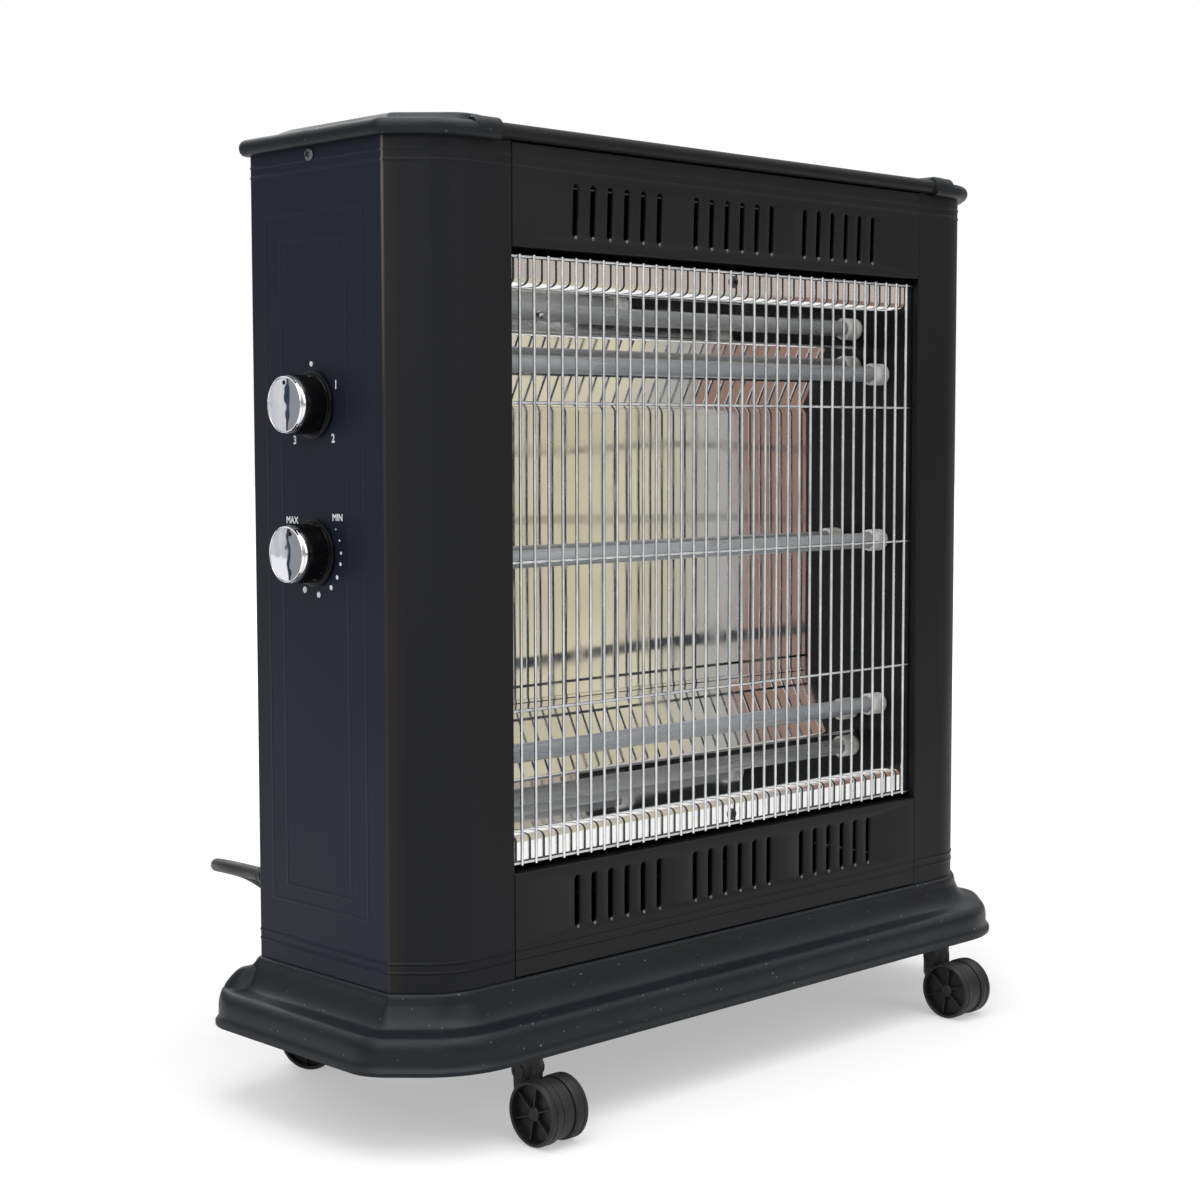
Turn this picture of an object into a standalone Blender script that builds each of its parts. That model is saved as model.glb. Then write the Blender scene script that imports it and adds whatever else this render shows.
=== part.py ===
# Quartz room heater on four casters, modelled at real size, +Z up, front towards -Y.
# The origin lies on the floor below the middle of the casing.
import math

import bmesh
import bpy
from mathutils import Vector

MM = 0.001
GAP = 0.3 * MM                      # left between pieces that touch

# Casing
CASING_WIDTH = 536 * MM
CASING_DEPTH = 156 * MM
CASING_BOTTOM = 90 * MM
CASING_TOP = 585 * MM
CHAMFER = 27 * MM                   # leg of the 45 degree front corner
CHAMFER_BLEND = 38 * MM             # radius where the chamfer runs into the front
CREASE_RADIUS = 1.5 * MM            # the crisp fold between chamfer and side
REAR_RADIUS = 2 * MM
SHEET = 1.0 * MM
PANEL_RETURN = 16 * MM              # fold of a side panel back into the window
BACK_RETURN = 14 * MM               # fold of a side panel round the back

# Window, fascias and their slots
COLUMN_WIDTH = 74.7 * MM            # from the side to the joint of column and fascia
TOP_FASCIA = 60.5 * MM              # casing's top to the window
BOTTOM_FASCIA = 63 * MM             # casing's bottom to the window
FASCIA_RETURN = 12 * MM
SLOT_LENGTH = 31 * MM
SLOT_WIDTH = 4.4 * MM
SLOT_PITCH = 14.4 * MM
SLOTS_IN_GROUP = 6
GROUP_PITCH = 105.4 * MM
SLOT_GROUPS = 3
TOP_SLOT_RISE = 24 * MM             # middle of the top slots above the window
BOTTOM_SLOT_DROP = 23.5 * MM        # middle of the bottom slots below the window

# Wire guard
WIRE = 2.0 * MM
UPRIGHT_WIRES = 33
OUTER_WIRE_INSET = 9.3 * MM         # joint of column and fascia to the outermost upright wire
GUARD_SET_BACK = 4 * MM             # middle of the upright wires behind the front
GUARD_MARGIN = 5 * MM               # window edge to the outermost cross wire
UPPER_QUARTER_WIRE = 86 * MM        # from the highest cross wire to the next
LOWER_QUARTER_WIRE = 92 * MM        # from the lowest cross wire to the next

# Reflector
REFLECTOR_SHEET = 0.7 * MM
REFLECTOR_FRONT = 7 * MM            # front edges behind the casing front
REFLECTOR_KNEE = 41 * MM            # fold between the steep and the shallow facet
REFLECTOR_BACK = 52 * MM            # flat mirror behind the casing front
FLANGE_RISE = 17 * MM               # height of the upright flange behind the guard
KNEE_RISE = 42.5 * MM               # edge to the fold between the facets
FACET_RISE = 88.8 * MM              # edge to the flat mirror

# Quartz tubes
TUBE_SET_BACK = 32 * MM             # tube axis behind the casing front
TUBE_SPACING_SHARE = 0.3203         # distance between tubes as a share of the window
TUBE_RADIUS = 5.5 * MM
TUBE_BORE = 4.3 * MM
SPIRAL_RADIUS = 3.5 * MM
SPIRAL_PIN = 1.2 * MM
END_RADIUS = 7.75 * MM
END_LENGTH = 14.5 * MM
END_SOCKET = 9 * MM                 # how deep a tube sits in its ceramic end
END_NECK = 4.9 * MM
NECK_REACH = 6 * MM                 # neck beyond the tube plate
TUBE_PLATE_DEPTH = 60 * MM

# Roof
BEAD_RADIUS = 4.6 * MM
ROOF_OVERHANG = 5.6 * MM            # front of the bead before the casing front
ROOF_SHEET = 1.2 * MM
ROOF_CROWN = 3 * MM
CAP_LENGTH = 63 * MM                # casing's side to the inner end of the cap
CAP_OVERHANG = 7 * MM
CAP_RIM = 8.6 * MM                  # height of the half-round rim
CAP_DOME = 13.5 * MM                # top of the raised pad above the casing
CAP_LIP = 1.3 * MM                  # rim below the casing's top edge
COLLAR_RADIUS = 6.2 * MM
COLLAR_LENGTH = 20 * MM
COLLAR_LIFT = 0.6 * MM              # collar's middle above the bead's
PAD_REAR_MARGIN = 30 * MM           # from the casing's back to the raised pad

# Plinth
PLINTH_LOW = 48.5 * MM
PLINTH_WALL = 1.6 * MM
LIP_OVERHANG = 29 * MM
FLOOR_PLATE = 1.4 * MM
FLOOR_PLATE_RISE = 1.5 * MM         # plate above the lip's lower edge
FLOOR_MOUTH = (240 * MM, 100 * MM)  # opening in the middle of the plate

# Casters
FRONT_CASTER_INSET = 69 * MM        # casing's side to a front stem
REAR_CASTER_INSET = 76 * MM
CASTER_REACH = 17 * MM              # stems beyond the casing's front and back
REAR_LEFT_TURN = math.radians(32)   # the photographed caster stands turned
TRAIL = 18 * MM
WHEEL_RADIUS = 19.5 * MM
WHEEL_WIDTH = 9.6 * MM
WHEEL_RIM = 2.6 * MM
WHEEL_RECESS = 5.5 * MM
WHEEL_WEB = 1.5 * MM
WEB_WIDTH = 9 * MM
WEB_RADIUS = 18.2 * MM
BOSS_RADIUS = 9 * MM
BOSS_LOW = 24 * MM
STEM_RADIUS = 4 * MM
STEM_LENGTH = 11.5 * MM
BOSS_PLAY = 1.2 * MM                # boss below the plinth's floor plate
SOCKET_WALL = 2.2 * MM
AXLE_RADIUS = 1.9 * MM
RUNNING = 0.4 * MM                  # clearance round whatever turns

# Dials on the left side
DIAL_Y = 15.5 * MM
SWITCH_DROP = 152.5 * MM            # below the casing's top
THERMOSTAT_DROP = 240.5 * MM
KNOB_RADIUS = 20.1 * MM             # rim at the foot
KNOB_BODY_RADIUS = 17.7 * MM
KNOB_RIM = 1.8 * MM
KNOB_LENGTH = 16.6 * MM
KNOB_STANDOFF = 0.8 * MM
FACE_RADIUS = 17.4 * MM
FACE_LENGTH = 4.2 * MM
SHAFT_RADIUS = 3 * MM
SHAFT_IN_KNOB = 12 * MM
SHAFT_IN_BODY = 8 * MM
SWITCH_SIZE = (23 * MM, 32 * MM, 34 * MM)
THERMOSTAT_SIZE = (27 * MM, 36 * MM, 30 * MM)

# Screws
SIDE_SCREW_Y = 17 * MM
SIDE_SCREW_DROP = 5.6 * MM          # below the casing's top
SCREW_HEAD = 4.0 * MM
SCREW_HEAD_HEIGHT = 1.6 * MM
SCREW_SHANK = 1.5 * MM
SCREW_LENGTH = 8 * MM
REFLECTOR_SCREW_X = 5.7 * MM
REFLECTOR_SCREW_INSET = 6 * MM      # from the flange's edge
REFLECTOR_SCREW_HEAD = 3.9 * MM

# Back panel, wiring and mains cord
BACK_SLOTS = 7
BACK_SLOT_PITCH = 60 * MM
BACK_SLOT_LENGTH = 30 * MM
BACK_SLOT_WIDTH = 5 * MM
BACK_SLOT_MARGIN = 45 * MM
TERMINAL_SIZE = (34 * MM, 16 * MM, 16 * MM)
TERMINAL_RISE = 20 * MM             # middle of the block above the cord's axis
LEAD_RADIUS = 1.6 * MM
LOOM_RADIUS = 2.2 * MM
LOOM_INSET = 56 * MM                # casing's side to a loom
LOOM_SWEEP = 40 * MM                # bends of the run behind the reflector
LOOM_DROP = 30 * MM
CORD_INSET = 28 * MM                # casing's left side to the cord
CORD_Z = 131.7 * MM
CORD_RADIUS = 4.4 * MM
RELIEF_LENGTH = 40 * MM
RELIEF_FLANGE = 8.5 * MM
RELIEF_NECK = 5.6 * MM
RELIEF_TIP = 5.2 * MM
COIL_CENTRE = (-30 * MM, 186 * MM)
COIL_OUTER = 53.3 * MM              # middle of the cord at the coil's outer turn
COIL_PITCH = 9.4 * MM
COIL_LAYER = 9.5 * MM
COIL_START = math.radians(240)
COIL_TURNS = 4 + 1 / 6
COIL_STEPS = 24                     # points on each turn
COIL_REST = 4.7 * MM                # middle of the lowest turns above the floor
PLUG_RADIUS = 18.2 * MM
PLUG_LENGTH = 46 * MM
PLUG_GRIP = 9 * MM
PIN_RADIUS = 2.4 * MM
PIN_LENGTH = 19 * MM
PIN_SPACING = 19 * MM

# Values that follow from the sizes above
HALF_WIDTH = CASING_WIDTH / 2
SEAM = HALF_WIDTH - COLUMN_WIDTH
WINDOW_LOW = CASING_BOTTOM + BOTTOM_FASCIA
WINDOW_HIGH = CASING_TOP - TOP_FASCIA
WIRE_PITCH = (SEAM - OUTER_WIRE_INSET) * 2 / (UPRIGHT_WIRES - 1)
TUBE_SPACING = (WINDOW_HIGH - WINDOW_LOW) * TUBE_SPACING_SHARE
ROOF_HALF = HALF_WIDTH - CAP_LENGTH
FRONT_CASTER_X = HALF_WIDTH - FRONT_CASTER_INSET
REAR_CASTER_X = HALF_WIDTH - REAR_CASTER_INSET
CASTER_Y = CASING_DEPTH / 2 + CASTER_REACH
SWITCH_Z = CASING_TOP - SWITCH_DROP
THERMOSTAT_Z = CASING_TOP - THERMOSTAT_DROP
LOOM_X = HALF_WIDTH - LOOM_INSET
CORD_X = CORD_INSET - HALF_WIDTH
CASING_FRONT = -CASING_DEPTH / 2
CASING_BACK = CASING_DEPTH / 2
WINDOW_MIDDLE = (WINDOW_LOW + WINDOW_HIGH) / 2
SIDE_INNER = HALF_WIDTH - SHEET
BACK_PANEL_OUTER = CASING_BACK - SHEET - GAP
BACK_PANEL_INNER = BACK_PANEL_OUTER - SHEET
PLINTH_TOP = CASING_BOTTOM - GAP
FLOOR_LOW = PLINTH_LOW + FLOOR_PLATE_RISE
PLATE_OUTER = SEAM - GAP
PLATE_INNER = PLATE_OUTER - SHEET
TUBE_Y = CASING_FRONT + TUBE_SET_BACK
TUBE_LEVELS = {
    "upper": WINDOW_MIDDLE + TUBE_SPACING,
    "middle": WINDOW_MIDDLE,
    "lower": WINDOW_MIDDLE - TUBE_SPACING,
}
END_OUTER = PLATE_INNER - GAP
SOCKET_FLOOR = END_OUTER - END_LENGTH + END_SOCKET
GUARD_Y = CASING_FRONT + GUARD_SET_BACK
GUARD_HIGH = WINDOW_HIGH - GUARD_MARGIN
GUARD_LOW = WINDOW_LOW + GUARD_MARGIN
CORD_START_Y = BACK_PANEL_OUTER + GAP + RELIEF_LENGTH + GAP


for old in list(bpy.data.objects):
    bpy.data.objects.remove(old, do_unlink=True)

parts = bpy.data.collections.new("quartz_heater")
cutters = bpy.data.collections.new("cutters")
bpy.context.scene.collection.children.link(parts)
bpy.context.scene.collection.children.link(cutters)


def material(name, colour, roughness, metallic=0.0):
    """A plain Principled material."""
    made = bpy.data.materials.new(name)
    made.use_nodes = True
    shader = made.node_tree.nodes["Principled BSDF"]
    shader.inputs["Base Color"].default_value = (*colour, 1)
    shader.inputs["Roughness"].default_value = roughness
    shader.inputs["Metallic"].default_value = metallic
    return made


POWDER_COAT = material("charcoal_powder_coat", (0.021, 0.023, 0.028), 0.42)
PLINTH_PLASTIC = material("charcoal_moulding", (0.022, 0.025, 0.029), 0.48)
BLACK_PLASTIC = material("black_plastic", (0.012, 0.012, 0.013), 0.45)
CHROME = material("chrome", (0.82, 0.83, 0.84), 0.12, 1.0)
MIRROR = material("polished_reflector", (0.86, 0.86, 0.85), 0.08, 1.0)
STEEL = material("zinc_steel", (0.6, 0.61, 0.62), 0.35, 1.0)
QUARTZ = material("frosted_quartz", (0.48, 0.5, 0.51), 0.35)
CERAMIC = material("white_ceramic", (0.82, 0.82, 0.8), 0.45)
HEATING_ALLOY = material("heating_alloy", (0.3, 0.28, 0.26), 0.4, 1.0)
CORD_PLASTIC = material("black_cord", (0.015, 0.015, 0.016), 0.5)
WIRE_PLASTIC = material("wire_sleeving", (0.75, 0.74, 0.7), 0.6)


def adopt(name, data, surface, parent=None, location=(0, 0, 0), helper=False):
    """An object for a mesh or curve, in the heater's collection or among the cutters."""
    made = bpy.data.objects.new(name, data)
    data.materials.append(surface)
    made.location = location
    made.parent = parent
    if helper:
        cutters.objects.link(made)
        made.hide_render = True
        made.display_type = "WIRE"
    else:
        parts.objects.link(made)
    return made


def empty(name, location, parent=None):
    """A marker that stands on a joint's axis and carries what turns there."""
    made = bpy.data.objects.new(name, None)
    made.location = location
    made.parent = parent
    parts.objects.link(made)
    return made


def settle(bm, name, smooth_angle=35):
    """The mesh of a finished bmesh, with round stretches shaded smooth."""
    mesh = bpy.data.meshes.new(name)
    bm.to_mesh(mesh)
    bm.free()
    mesh.shade_smooth()
    mesh.set_sharp_from_angle(angle=math.radians(smooth_angle))
    return mesh


def cut(target, tool, operation="DIFFERENCE"):
    """A Boolean on target by a helper object."""
    change = target.modifiers.new(tool.name, "BOOLEAN")
    change.operation = operation
    change.solver = "EXACT"
    change.object = tool


def join(target, tool):
    cut(target, tool, "UNION")


def spun(point, axis):
    """A point of a section drawn across an axis, put in the heater's space."""
    across, up, along = point
    return {"Z": (across, up, along), "X": (along, across, up)}[axis]


def folded_sheet(name, path, axis, low, high, surface, thickness=SHEET):
    """A sheet folded along path and run along axis. Its outer face is on the path's right."""
    bm = bmesh.new()
    verts = [bm.verts.new(spun((u, v, low), axis)) for u, v in path]
    edges = [bm.edges.new(pair) for pair in zip(verts, verts[1:])]
    grown = bmesh.ops.extrude_edge_only(bm, edges=edges)["geom"]
    risen = [g for g in grown if isinstance(g, bmesh.types.BMVert)]
    bmesh.ops.translate(bm, verts=risen, vec=spun((0, 0, high - low), axis))
    bm.faces.ensure_lookup_table()
    bm.normal_update()
    run_u, run_v = (b - a for a, b in zip(path[0], path[1]))
    outward = Vector(spun((run_v, -run_u, 0), axis))
    first = min(bm.faces, key=lambda f: (f.calc_center_median() - verts[0].co).length)
    if first.normal.dot(outward) < 0:
        bmesh.ops.reverse_faces(bm, faces=bm.faces)
    made = adopt(name, settle(bm, name), surface)
    shell = made.modifiers.new("sheet", "SOLIDIFY")
    shell.thickness = thickness
    shell.offset = -1
    shell.use_even_offset = True
    return made


def prism(name, outline, axis, low, high, surface, helper=False, parent=None, location=(0, 0, 0)):
    """A closed outline run along axis."""
    bm = bmesh.new()
    face = bm.faces.new([bm.verts.new(spun((u, v, low), axis)) for u, v in outline])
    grown = bmesh.ops.extrude_face_region(bm, geom=[face])["geom"]
    risen = [g for g in grown if isinstance(g, bmesh.types.BMVert)]
    bmesh.ops.translate(bm, verts=risen, vec=spun((0, 0, high - low), axis))
    bmesh.ops.recalc_face_normals(bm, faces=bm.faces)
    return adopt(name, settle(bm, name), surface, parent, location, helper)


def block(name, low, high, surface, bevel=0.0, parent=None):
    """A box between two corners, with its edges broken if bevel is given."""
    bm = bmesh.new()
    bmesh.ops.create_cube(bm, size=1)
    size = Vector(high) - Vector(low)
    bmesh.ops.scale(bm, vec=size, verts=bm.verts)
    bmesh.ops.translate(bm, vec=Vector(low) + size / 2, verts=bm.verts)
    made = adopt(name, settle(bm, name), surface, parent)
    if bevel:
        rounding = made.modifiers.new("edges", "BEVEL")
        rounding.width = bevel
        rounding.segments = 1
    return made


TURN_TO = {
    "+Z": (0, 0, 0),
    "+Y": (-math.pi / 2, 0, 0),
    "-Y": (math.pi / 2, 0, 0),
    "+X": (0, math.pi / 2, 0),
    "-X": (0, -math.pi / 2, 0),
}


def turned(name, profile, direction, location, surface, steps=24, parent=None, helper=False):
    """A profile of (radius, height) turned about its axis, which is set along direction.
    The profile runs from the top down the outer side."""
    mesh = bpy.data.meshes.new(name)
    closed = profile[0][0] > 0
    count = len(profile)
    edges = [(i, i + 1) for i in range(count - 1)] + ([(count - 1, 0)] if closed else [])
    mesh.from_pydata([(radius, 0, height) for radius, height in profile], edges, [])
    made = adopt(name, mesh, surface, parent, location, helper)
    made.rotation_euler = TURN_TO[direction]
    screw = made.modifiers.new("turning", "SCREW")
    screw.steps = steps
    screw.render_steps = steps
    screw.use_merge_vertices = True
    screw.merge_threshold = 0.00001
    screw.use_smooth_shade = True
    return made


def rod(name, start, end, radius, surface, sides=12, helper=False, parent=None):
    """A round bar between two points."""
    start, end = Vector(start), Vector(end)
    bm = bmesh.new()
    bmesh.ops.create_cone(
        bm, cap_ends=True, segments=sides, radius1=radius, radius2=radius, depth=(end - start).length
    )
    turn = (end - start).to_track_quat("Z", "Y")
    bmesh.ops.rotate(bm, verts=bm.verts, cent=(0, 0, 0), matrix=turn.to_matrix())
    bmesh.ops.translate(bm, verts=bm.verts, vec=(start + end) / 2)
    return adopt(name, settle(bm, name), surface, parent, helper=helper)


def rounded(corners, closed=False):
    """A path through corners (x, y, radius, segments), each rounded by an arc."""
    path = []
    count = len(corners)
    for i, (x, y, radius, segments) in enumerate(corners):
        here = Vector((x, y))
        if radius <= 0 or (not closed and i in (0, count - 1)):
            path.append((x, y))
            continue
        before = (Vector(corners[i - 1][:2]) - here).normalized()
        after = (Vector(corners[(i + 1) % count][:2]) - here).normalized()
        half = before.angle(after) / 2
        centre = here + (before + after).normalized() * radius / math.sin(half)
        first = here + before * radius / math.tan(half) - centre
        last = here + after * radius / math.tan(half) - centre
        sweep = first.angle_signed(last)
        for step in range(segments + 1):
            turn = -sweep * step / segments
            path.append((
                centre.x + first.x * math.cos(turn) - first.y * math.sin(turn),
                centre.y + first.x * math.sin(turn) + first.y * math.cos(turn),
            ))
    return path


def corner_run(offset, inner, rear=None, lead=0, blend=CHAMFER_BLEND, rear_steps=2):
    """The right half of the casing's plan grown by offset, from the front at x = inner,
    round the chamfer and the side, to the back at x = inner. The front is set forward by
    lead, and the back lies at rear if given."""
    back = CASING_BACK + offset if rear is None else rear
    spread = offset * (math.sqrt(2) - 1)
    front = CASING_FRONT - offset - lead
    side = HALF_WIDTH + offset
    grow = max(offset, 0)
    return rounded([
        (inner, front, 0, 0),
        (HALF_WIDTH - CHAMFER + spread - lead, front, blend + grow, 4),
        (side, CASING_FRONT + CHAMFER - spread, CREASE_RADIUS + grow, 2),
        (side, back, REAR_RADIUS + grow, rear_steps),
        (inner, back, 0, 0),
    ])


def mirrored(path):
    """The same path on the left, still run so that outside lies on its right."""
    return [(-x, y) for x, y in reversed(path)]


def loft(name, loops, surface, open_end=False):
    """Equal loops of points skinned in order and closed at the first, and at the last unless
    open_end."""
    bm = bmesh.new()
    rings = [[bm.verts.new(point) for point in loop] for loop in loops]
    count = len(rings[0])
    for low, high in zip(rings, rings[1:]):
        for i in range(count):
            j = (i + 1) % count
            bm.faces.new((low[i], low[j], high[j], high[i]))
    bm.faces.new(list(reversed(rings[0])))
    if not open_end:
        bm.faces.new(rings[-1])
    bmesh.ops.recalc_face_normals(bm, faces=bm.faces)
    return adopt(name, settle(bm, name), surface)


def tube(name, points, radius, surface, resolution=1, helper=False):
    """A round tube along points, with closed ends."""
    curve = bpy.data.curves.new(name, "CURVE")
    curve.dimensions = "3D"
    curve.bevel_depth = radius
    curve.bevel_resolution = resolution
    curve.use_fill_caps = True
    line = curve.splines.new("POLY")
    line.points.add(len(points) - 1)
    for spot, point in zip(line.points, points):
        spot.co = (*point, 1)
    return adopt(name, curve, surface, helper=helper)


def solid_tube(name, points, radius, surface, helper=False):
    """A tube made a mesh with welded caps, so that it can be cut or joined."""
    line = tube(name + "_line", points, radius, surface, helper=True)
    graph = bpy.context.evaluated_depsgraph_get()
    mesh = bpy.data.meshes.new_from_object(line.evaluated_get(graph))
    bpy.data.objects.remove(line, do_unlink=True)
    bm = bmesh.new()
    bm.from_mesh(mesh)
    bmesh.ops.remove_doubles(bm, verts=bm.verts, dist=0.01 * MM)
    bmesh.ops.recalc_face_normals(bm, faces=bm.faces)
    bm.to_mesh(mesh)
    bm.free()
    mesh.materials.clear()
    return adopt(name, mesh, surface, helper=helper)


def slot_outline(x, z, length, width):
    """An upright slot with round ends, in the X-Z plane."""
    radius = width / 2
    straight = length / 2 - radius
    turns = [math.pi * step / 3 for step in range(4)]
    top = [(x + radius * math.cos(t), z + straight + radius * math.sin(t)) for t in turns]
    bottom = [(x - radius * math.cos(t), z - straight - radius * math.sin(t)) for t in turns]
    return top + bottom


def slot_cutter(name, places, length, width, y_low, y_high):
    """One cutter with a bar for each slot."""
    bm = bmesh.new()
    for x, z in places:
        face = bm.faces.new([bm.verts.new((u, y_low, v)) for u, v in slot_outline(x, z, length, width)])
        grown = bmesh.ops.extrude_face_region(bm, geom=[face])["geom"]
        risen = [g for g in grown if isinstance(g, bmesh.types.BMVert)]
        bmesh.ops.translate(bm, verts=risen, vec=(0, y_high - y_low, 0))
    bmesh.ops.recalc_face_normals(bm, faces=bm.faces)
    return adopt(name, settle(bm, name), POWDER_COAT, helper=True)


def side_panel(name, side):
    """A side with its chamfered column, one sheet from the window round to the back."""
    run = [
        (SEAM, CASING_FRONT + PANEL_RETURN),
        (SEAM, CASING_FRONT),
        *corner_run(0, SEAM)[1:-1],
        (HALF_WIDTH - BACK_RETURN, CASING_BACK),
    ]
    path = run if side > 0 else mirrored(run)
    return folded_sheet(name, path, "Z", CASING_BOTTOM, CASING_TOP, POWDER_COAT)


def screw(name, head_radius, location, direction):
    """A pan-head screw whose head's underside is at location."""
    profile = [
        (0, SCREW_HEAD_HEIGHT),
        (head_radius * 0.6, SCREW_HEAD_HEIGHT),
        (head_radius, SCREW_HEAD_HEIGHT * 0.45),
        (head_radius, 0),
        (SCREW_SHANK, 0),
        (SCREW_SHANK, -SCREW_LENGTH),
        (0, -SCREW_LENGTH - SCREW_SHANK),
    ]
    return turned(name, profile, direction, location, STEEL, steps=12)


def fascia(name, low, high, slot_z):
    """A fascia folded back along both long edges, with three groups of slots."""
    back = CASING_FRONT + FASCIA_RETURN
    path = [(back, high), (CASING_FRONT, high), (CASING_FRONT, low), (back, low)]
    made = folded_sheet(name, path, "X", -PLATE_OUTER, PLATE_OUTER, POWDER_COAT)
    places = [
        ((group - (SLOT_GROUPS - 1) / 2) * GROUP_PITCH + (i - (SLOTS_IN_GROUP - 1) / 2) * SLOT_PITCH, slot_z)
        for group in range(SLOT_GROUPS)
        for i in range(SLOTS_IN_GROUP)
    ]
    reach = SHEET * 2
    cut(made, slot_cutter(
        name + "_slots", places, SLOT_LENGTH, SLOT_WIDTH, CASING_FRONT - reach, CASING_FRONT + reach
    ))


def casing():
    left = side_panel("left_side_panel", -1)
    side_panel("right_side_panel", 1)
    through = (-HALF_WIDTH - SHEET * 2, -HALF_WIDTH + SHEET * 4)
    for name, z in (("switch", SWITCH_Z), ("thermostat", THERMOSTAT_Z)):
        hole = [(x, DIAL_Y, z) for x in through]
        cut(left, rod(name + "_hole", *hole, SHAFT_RADIUS + RUNNING, POWDER_COAT, helper=True))
    screw_z = CASING_TOP - SIDE_SCREW_DROP
    hole = [(x, SIDE_SCREW_Y, screw_z) for x in through]
    cut(left, rod("side_screw_hole", *hole, SCREW_SHANK + GAP, POWDER_COAT, helper=True))
    screw("side_screw", SCREW_HEAD, (-HALF_WIDTH - GAP, SIDE_SCREW_Y, screw_z), "-X")
    fascia("top_fascia", WINDOW_HIGH, CASING_TOP - GAP, WINDOW_HIGH + TOP_SLOT_RISE)
    fascia("bottom_fascia", CASING_BOTTOM + GAP, WINDOW_LOW, WINDOW_LOW - BOTTOM_SLOT_DROP)

    edge = SIDE_INNER - REAR_RADIUS
    back = block(
        "back_panel",
        (-edge, BACK_PANEL_INNER, CASING_BOTTOM + GAP),
        (edge, BACK_PANEL_OUTER, CASING_TOP - GAP),
        POWDER_COAT,
    )
    rows = (CASING_BOTTOM + BACK_SLOT_MARGIN, CASING_TOP - BACK_SLOT_MARGIN)
    places = [
        ((i - (BACK_SLOTS - 1) / 2) * BACK_SLOT_PITCH, z) for z in rows for i in range(BACK_SLOTS)
    ]
    reach = SHEET * 2
    cut(back, slot_cutter(
        "back_slots", places, BACK_SLOT_LENGTH, BACK_SLOT_WIDTH,
        BACK_PANEL_INNER - reach, BACK_PANEL_OUTER + reach,
    ))
    hole = [(CORD_X, y, CORD_Z) for y in (BACK_PANEL_INNER - reach, BACK_PANEL_OUTER + reach)]
    cut(back, rod("relief_hole", *hole, RELIEF_NECK + GAP, POWDER_COAT, sides=16, helper=True))


def roof_outline():
    """Section of the roof sheet: a bead at the front, a crowned sheet, a bead at the back."""
    bead_z = CASING_TOP + GAP + BEAD_RADIUS
    front = CASING_FRONT - ROOF_OVERHANG + BEAD_RADIUS
    back = CASING_BACK + ROOF_OVERHANG - BEAD_RADIUS
    lift = BEAD_RADIUS * 0.45
    tuck = math.asin((lift + ROOF_SHEET / 2) / BEAD_RADIUS)
    low_tuck = math.asin((lift - ROOF_SHEET / 2) / BEAD_RADIUS)
    sheet_steps = 6
    arc_steps = 10
    outline = []
    for step in range(arc_steps + 1):
        turn = tuck + (2 * math.pi - tuck + low_tuck) * step / arc_steps
        outline.append((front + BEAD_RADIUS * math.cos(turn), bead_z + BEAD_RADIUS * math.sin(turn)))
    def crowned(share, side):
        y = front + (back - front) * share
        return (y, bead_z + lift + side * ROOF_SHEET / 2 + ROOF_CROWN * math.sin(math.pi * share))
    shares = [0.12 + 0.76 * step / sheet_steps for step in range(sheet_steps + 1)]
    outline += [crowned(share, -1) for share in shares]
    for step in range(arc_steps + 1):
        turn = math.pi - low_tuck + (2 * math.pi - tuck + low_tuck) * step / arc_steps
        outline.append((back + BEAD_RADIUS * math.cos(turn), bead_z + BEAD_RADIUS * math.sin(turn)))
    outline += [crowned(share, 1) for share in reversed(shares)]
    return outline


def roof_cap(name, side):
    """A moulded end of the roof: half-round rim, raised pad, and collars round the beads."""
    inner = ROOF_HALF + GAP * 3
    pad_rear = CASING_BACK - PAD_REAR_MARGIN
    rim = [
        (0.55, -CAP_LIP),
        (0.92, CAP_RIM * 0.12),
        (1.0, CAP_RIM * 0.4),
        (0.88, CAP_RIM * 0.72),
        (0.5, CAP_RIM * 0.95),
        (-0.3, CAP_RIM * 1.04),
    ]
    runs = [(corner_run(CAP_OVERHANG * share, inner), rise) for share, rise in rim]
    for inset, rise, end, rear, lead, blend in (
        (6 * MM, 0.76, 1 * MM, 13 * MM, 3 * MM, 26 * MM),
        (10 * MM, 0.95, 7 * MM, 2 * MM, 6 * MM, 18 * MM),
        (17 * MM, 1.0, 13 * MM, -7 * MM, 10 * MM, 12 * MM),
    ):
        runs.append((corner_run(-inset, inner + end, pad_rear + rear, lead, blend), CAP_DOME * rise))
    loops = [
        [(x, y, CASING_TOP + rise) for x, y in (run if side > 0 else mirrored(run))]
        for run, rise in runs
    ]
    made = loft(name, loops, PLINTH_PLASTIC)
    bead_z = CASING_TOP + GAP + BEAD_RADIUS
    for place, y in (("front", CASING_FRONT - ROOF_OVERHANG + BEAD_RADIUS),
                     ("back", CASING_BACK + ROOF_OVERHANG - BEAD_RADIUS)):
        reach = (ROOF_HALF + GAP, ROOF_HALF + COLLAR_LENGTH)
        ends = [(side * x, y, bead_z + COLLAR_LIFT) for x in reach]
        join(made, rod(f"{name}_{place}_collar", *ends, COLLAR_RADIUS, PLINTH_PLASTIC, 14, helper=True))
    room = corner_run(GAP, inner - COLLAR_LENGTH)
    if side < 0:
        room = mirrored(room)
    low = CASING_TOP - CAP_RIM
    cut(made, prism(name + "_room", room, "Z", low, CASING_TOP + GAP, PLINTH_PLASTIC, helper=True))


def roof():
    prism("roof_sheet", roof_outline(), "X", -ROOF_HALF, ROOF_HALF, POWDER_COAT)
    roof_cap("roof_cap_left", -1)
    roof_cap("roof_cap_right", 1)


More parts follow.
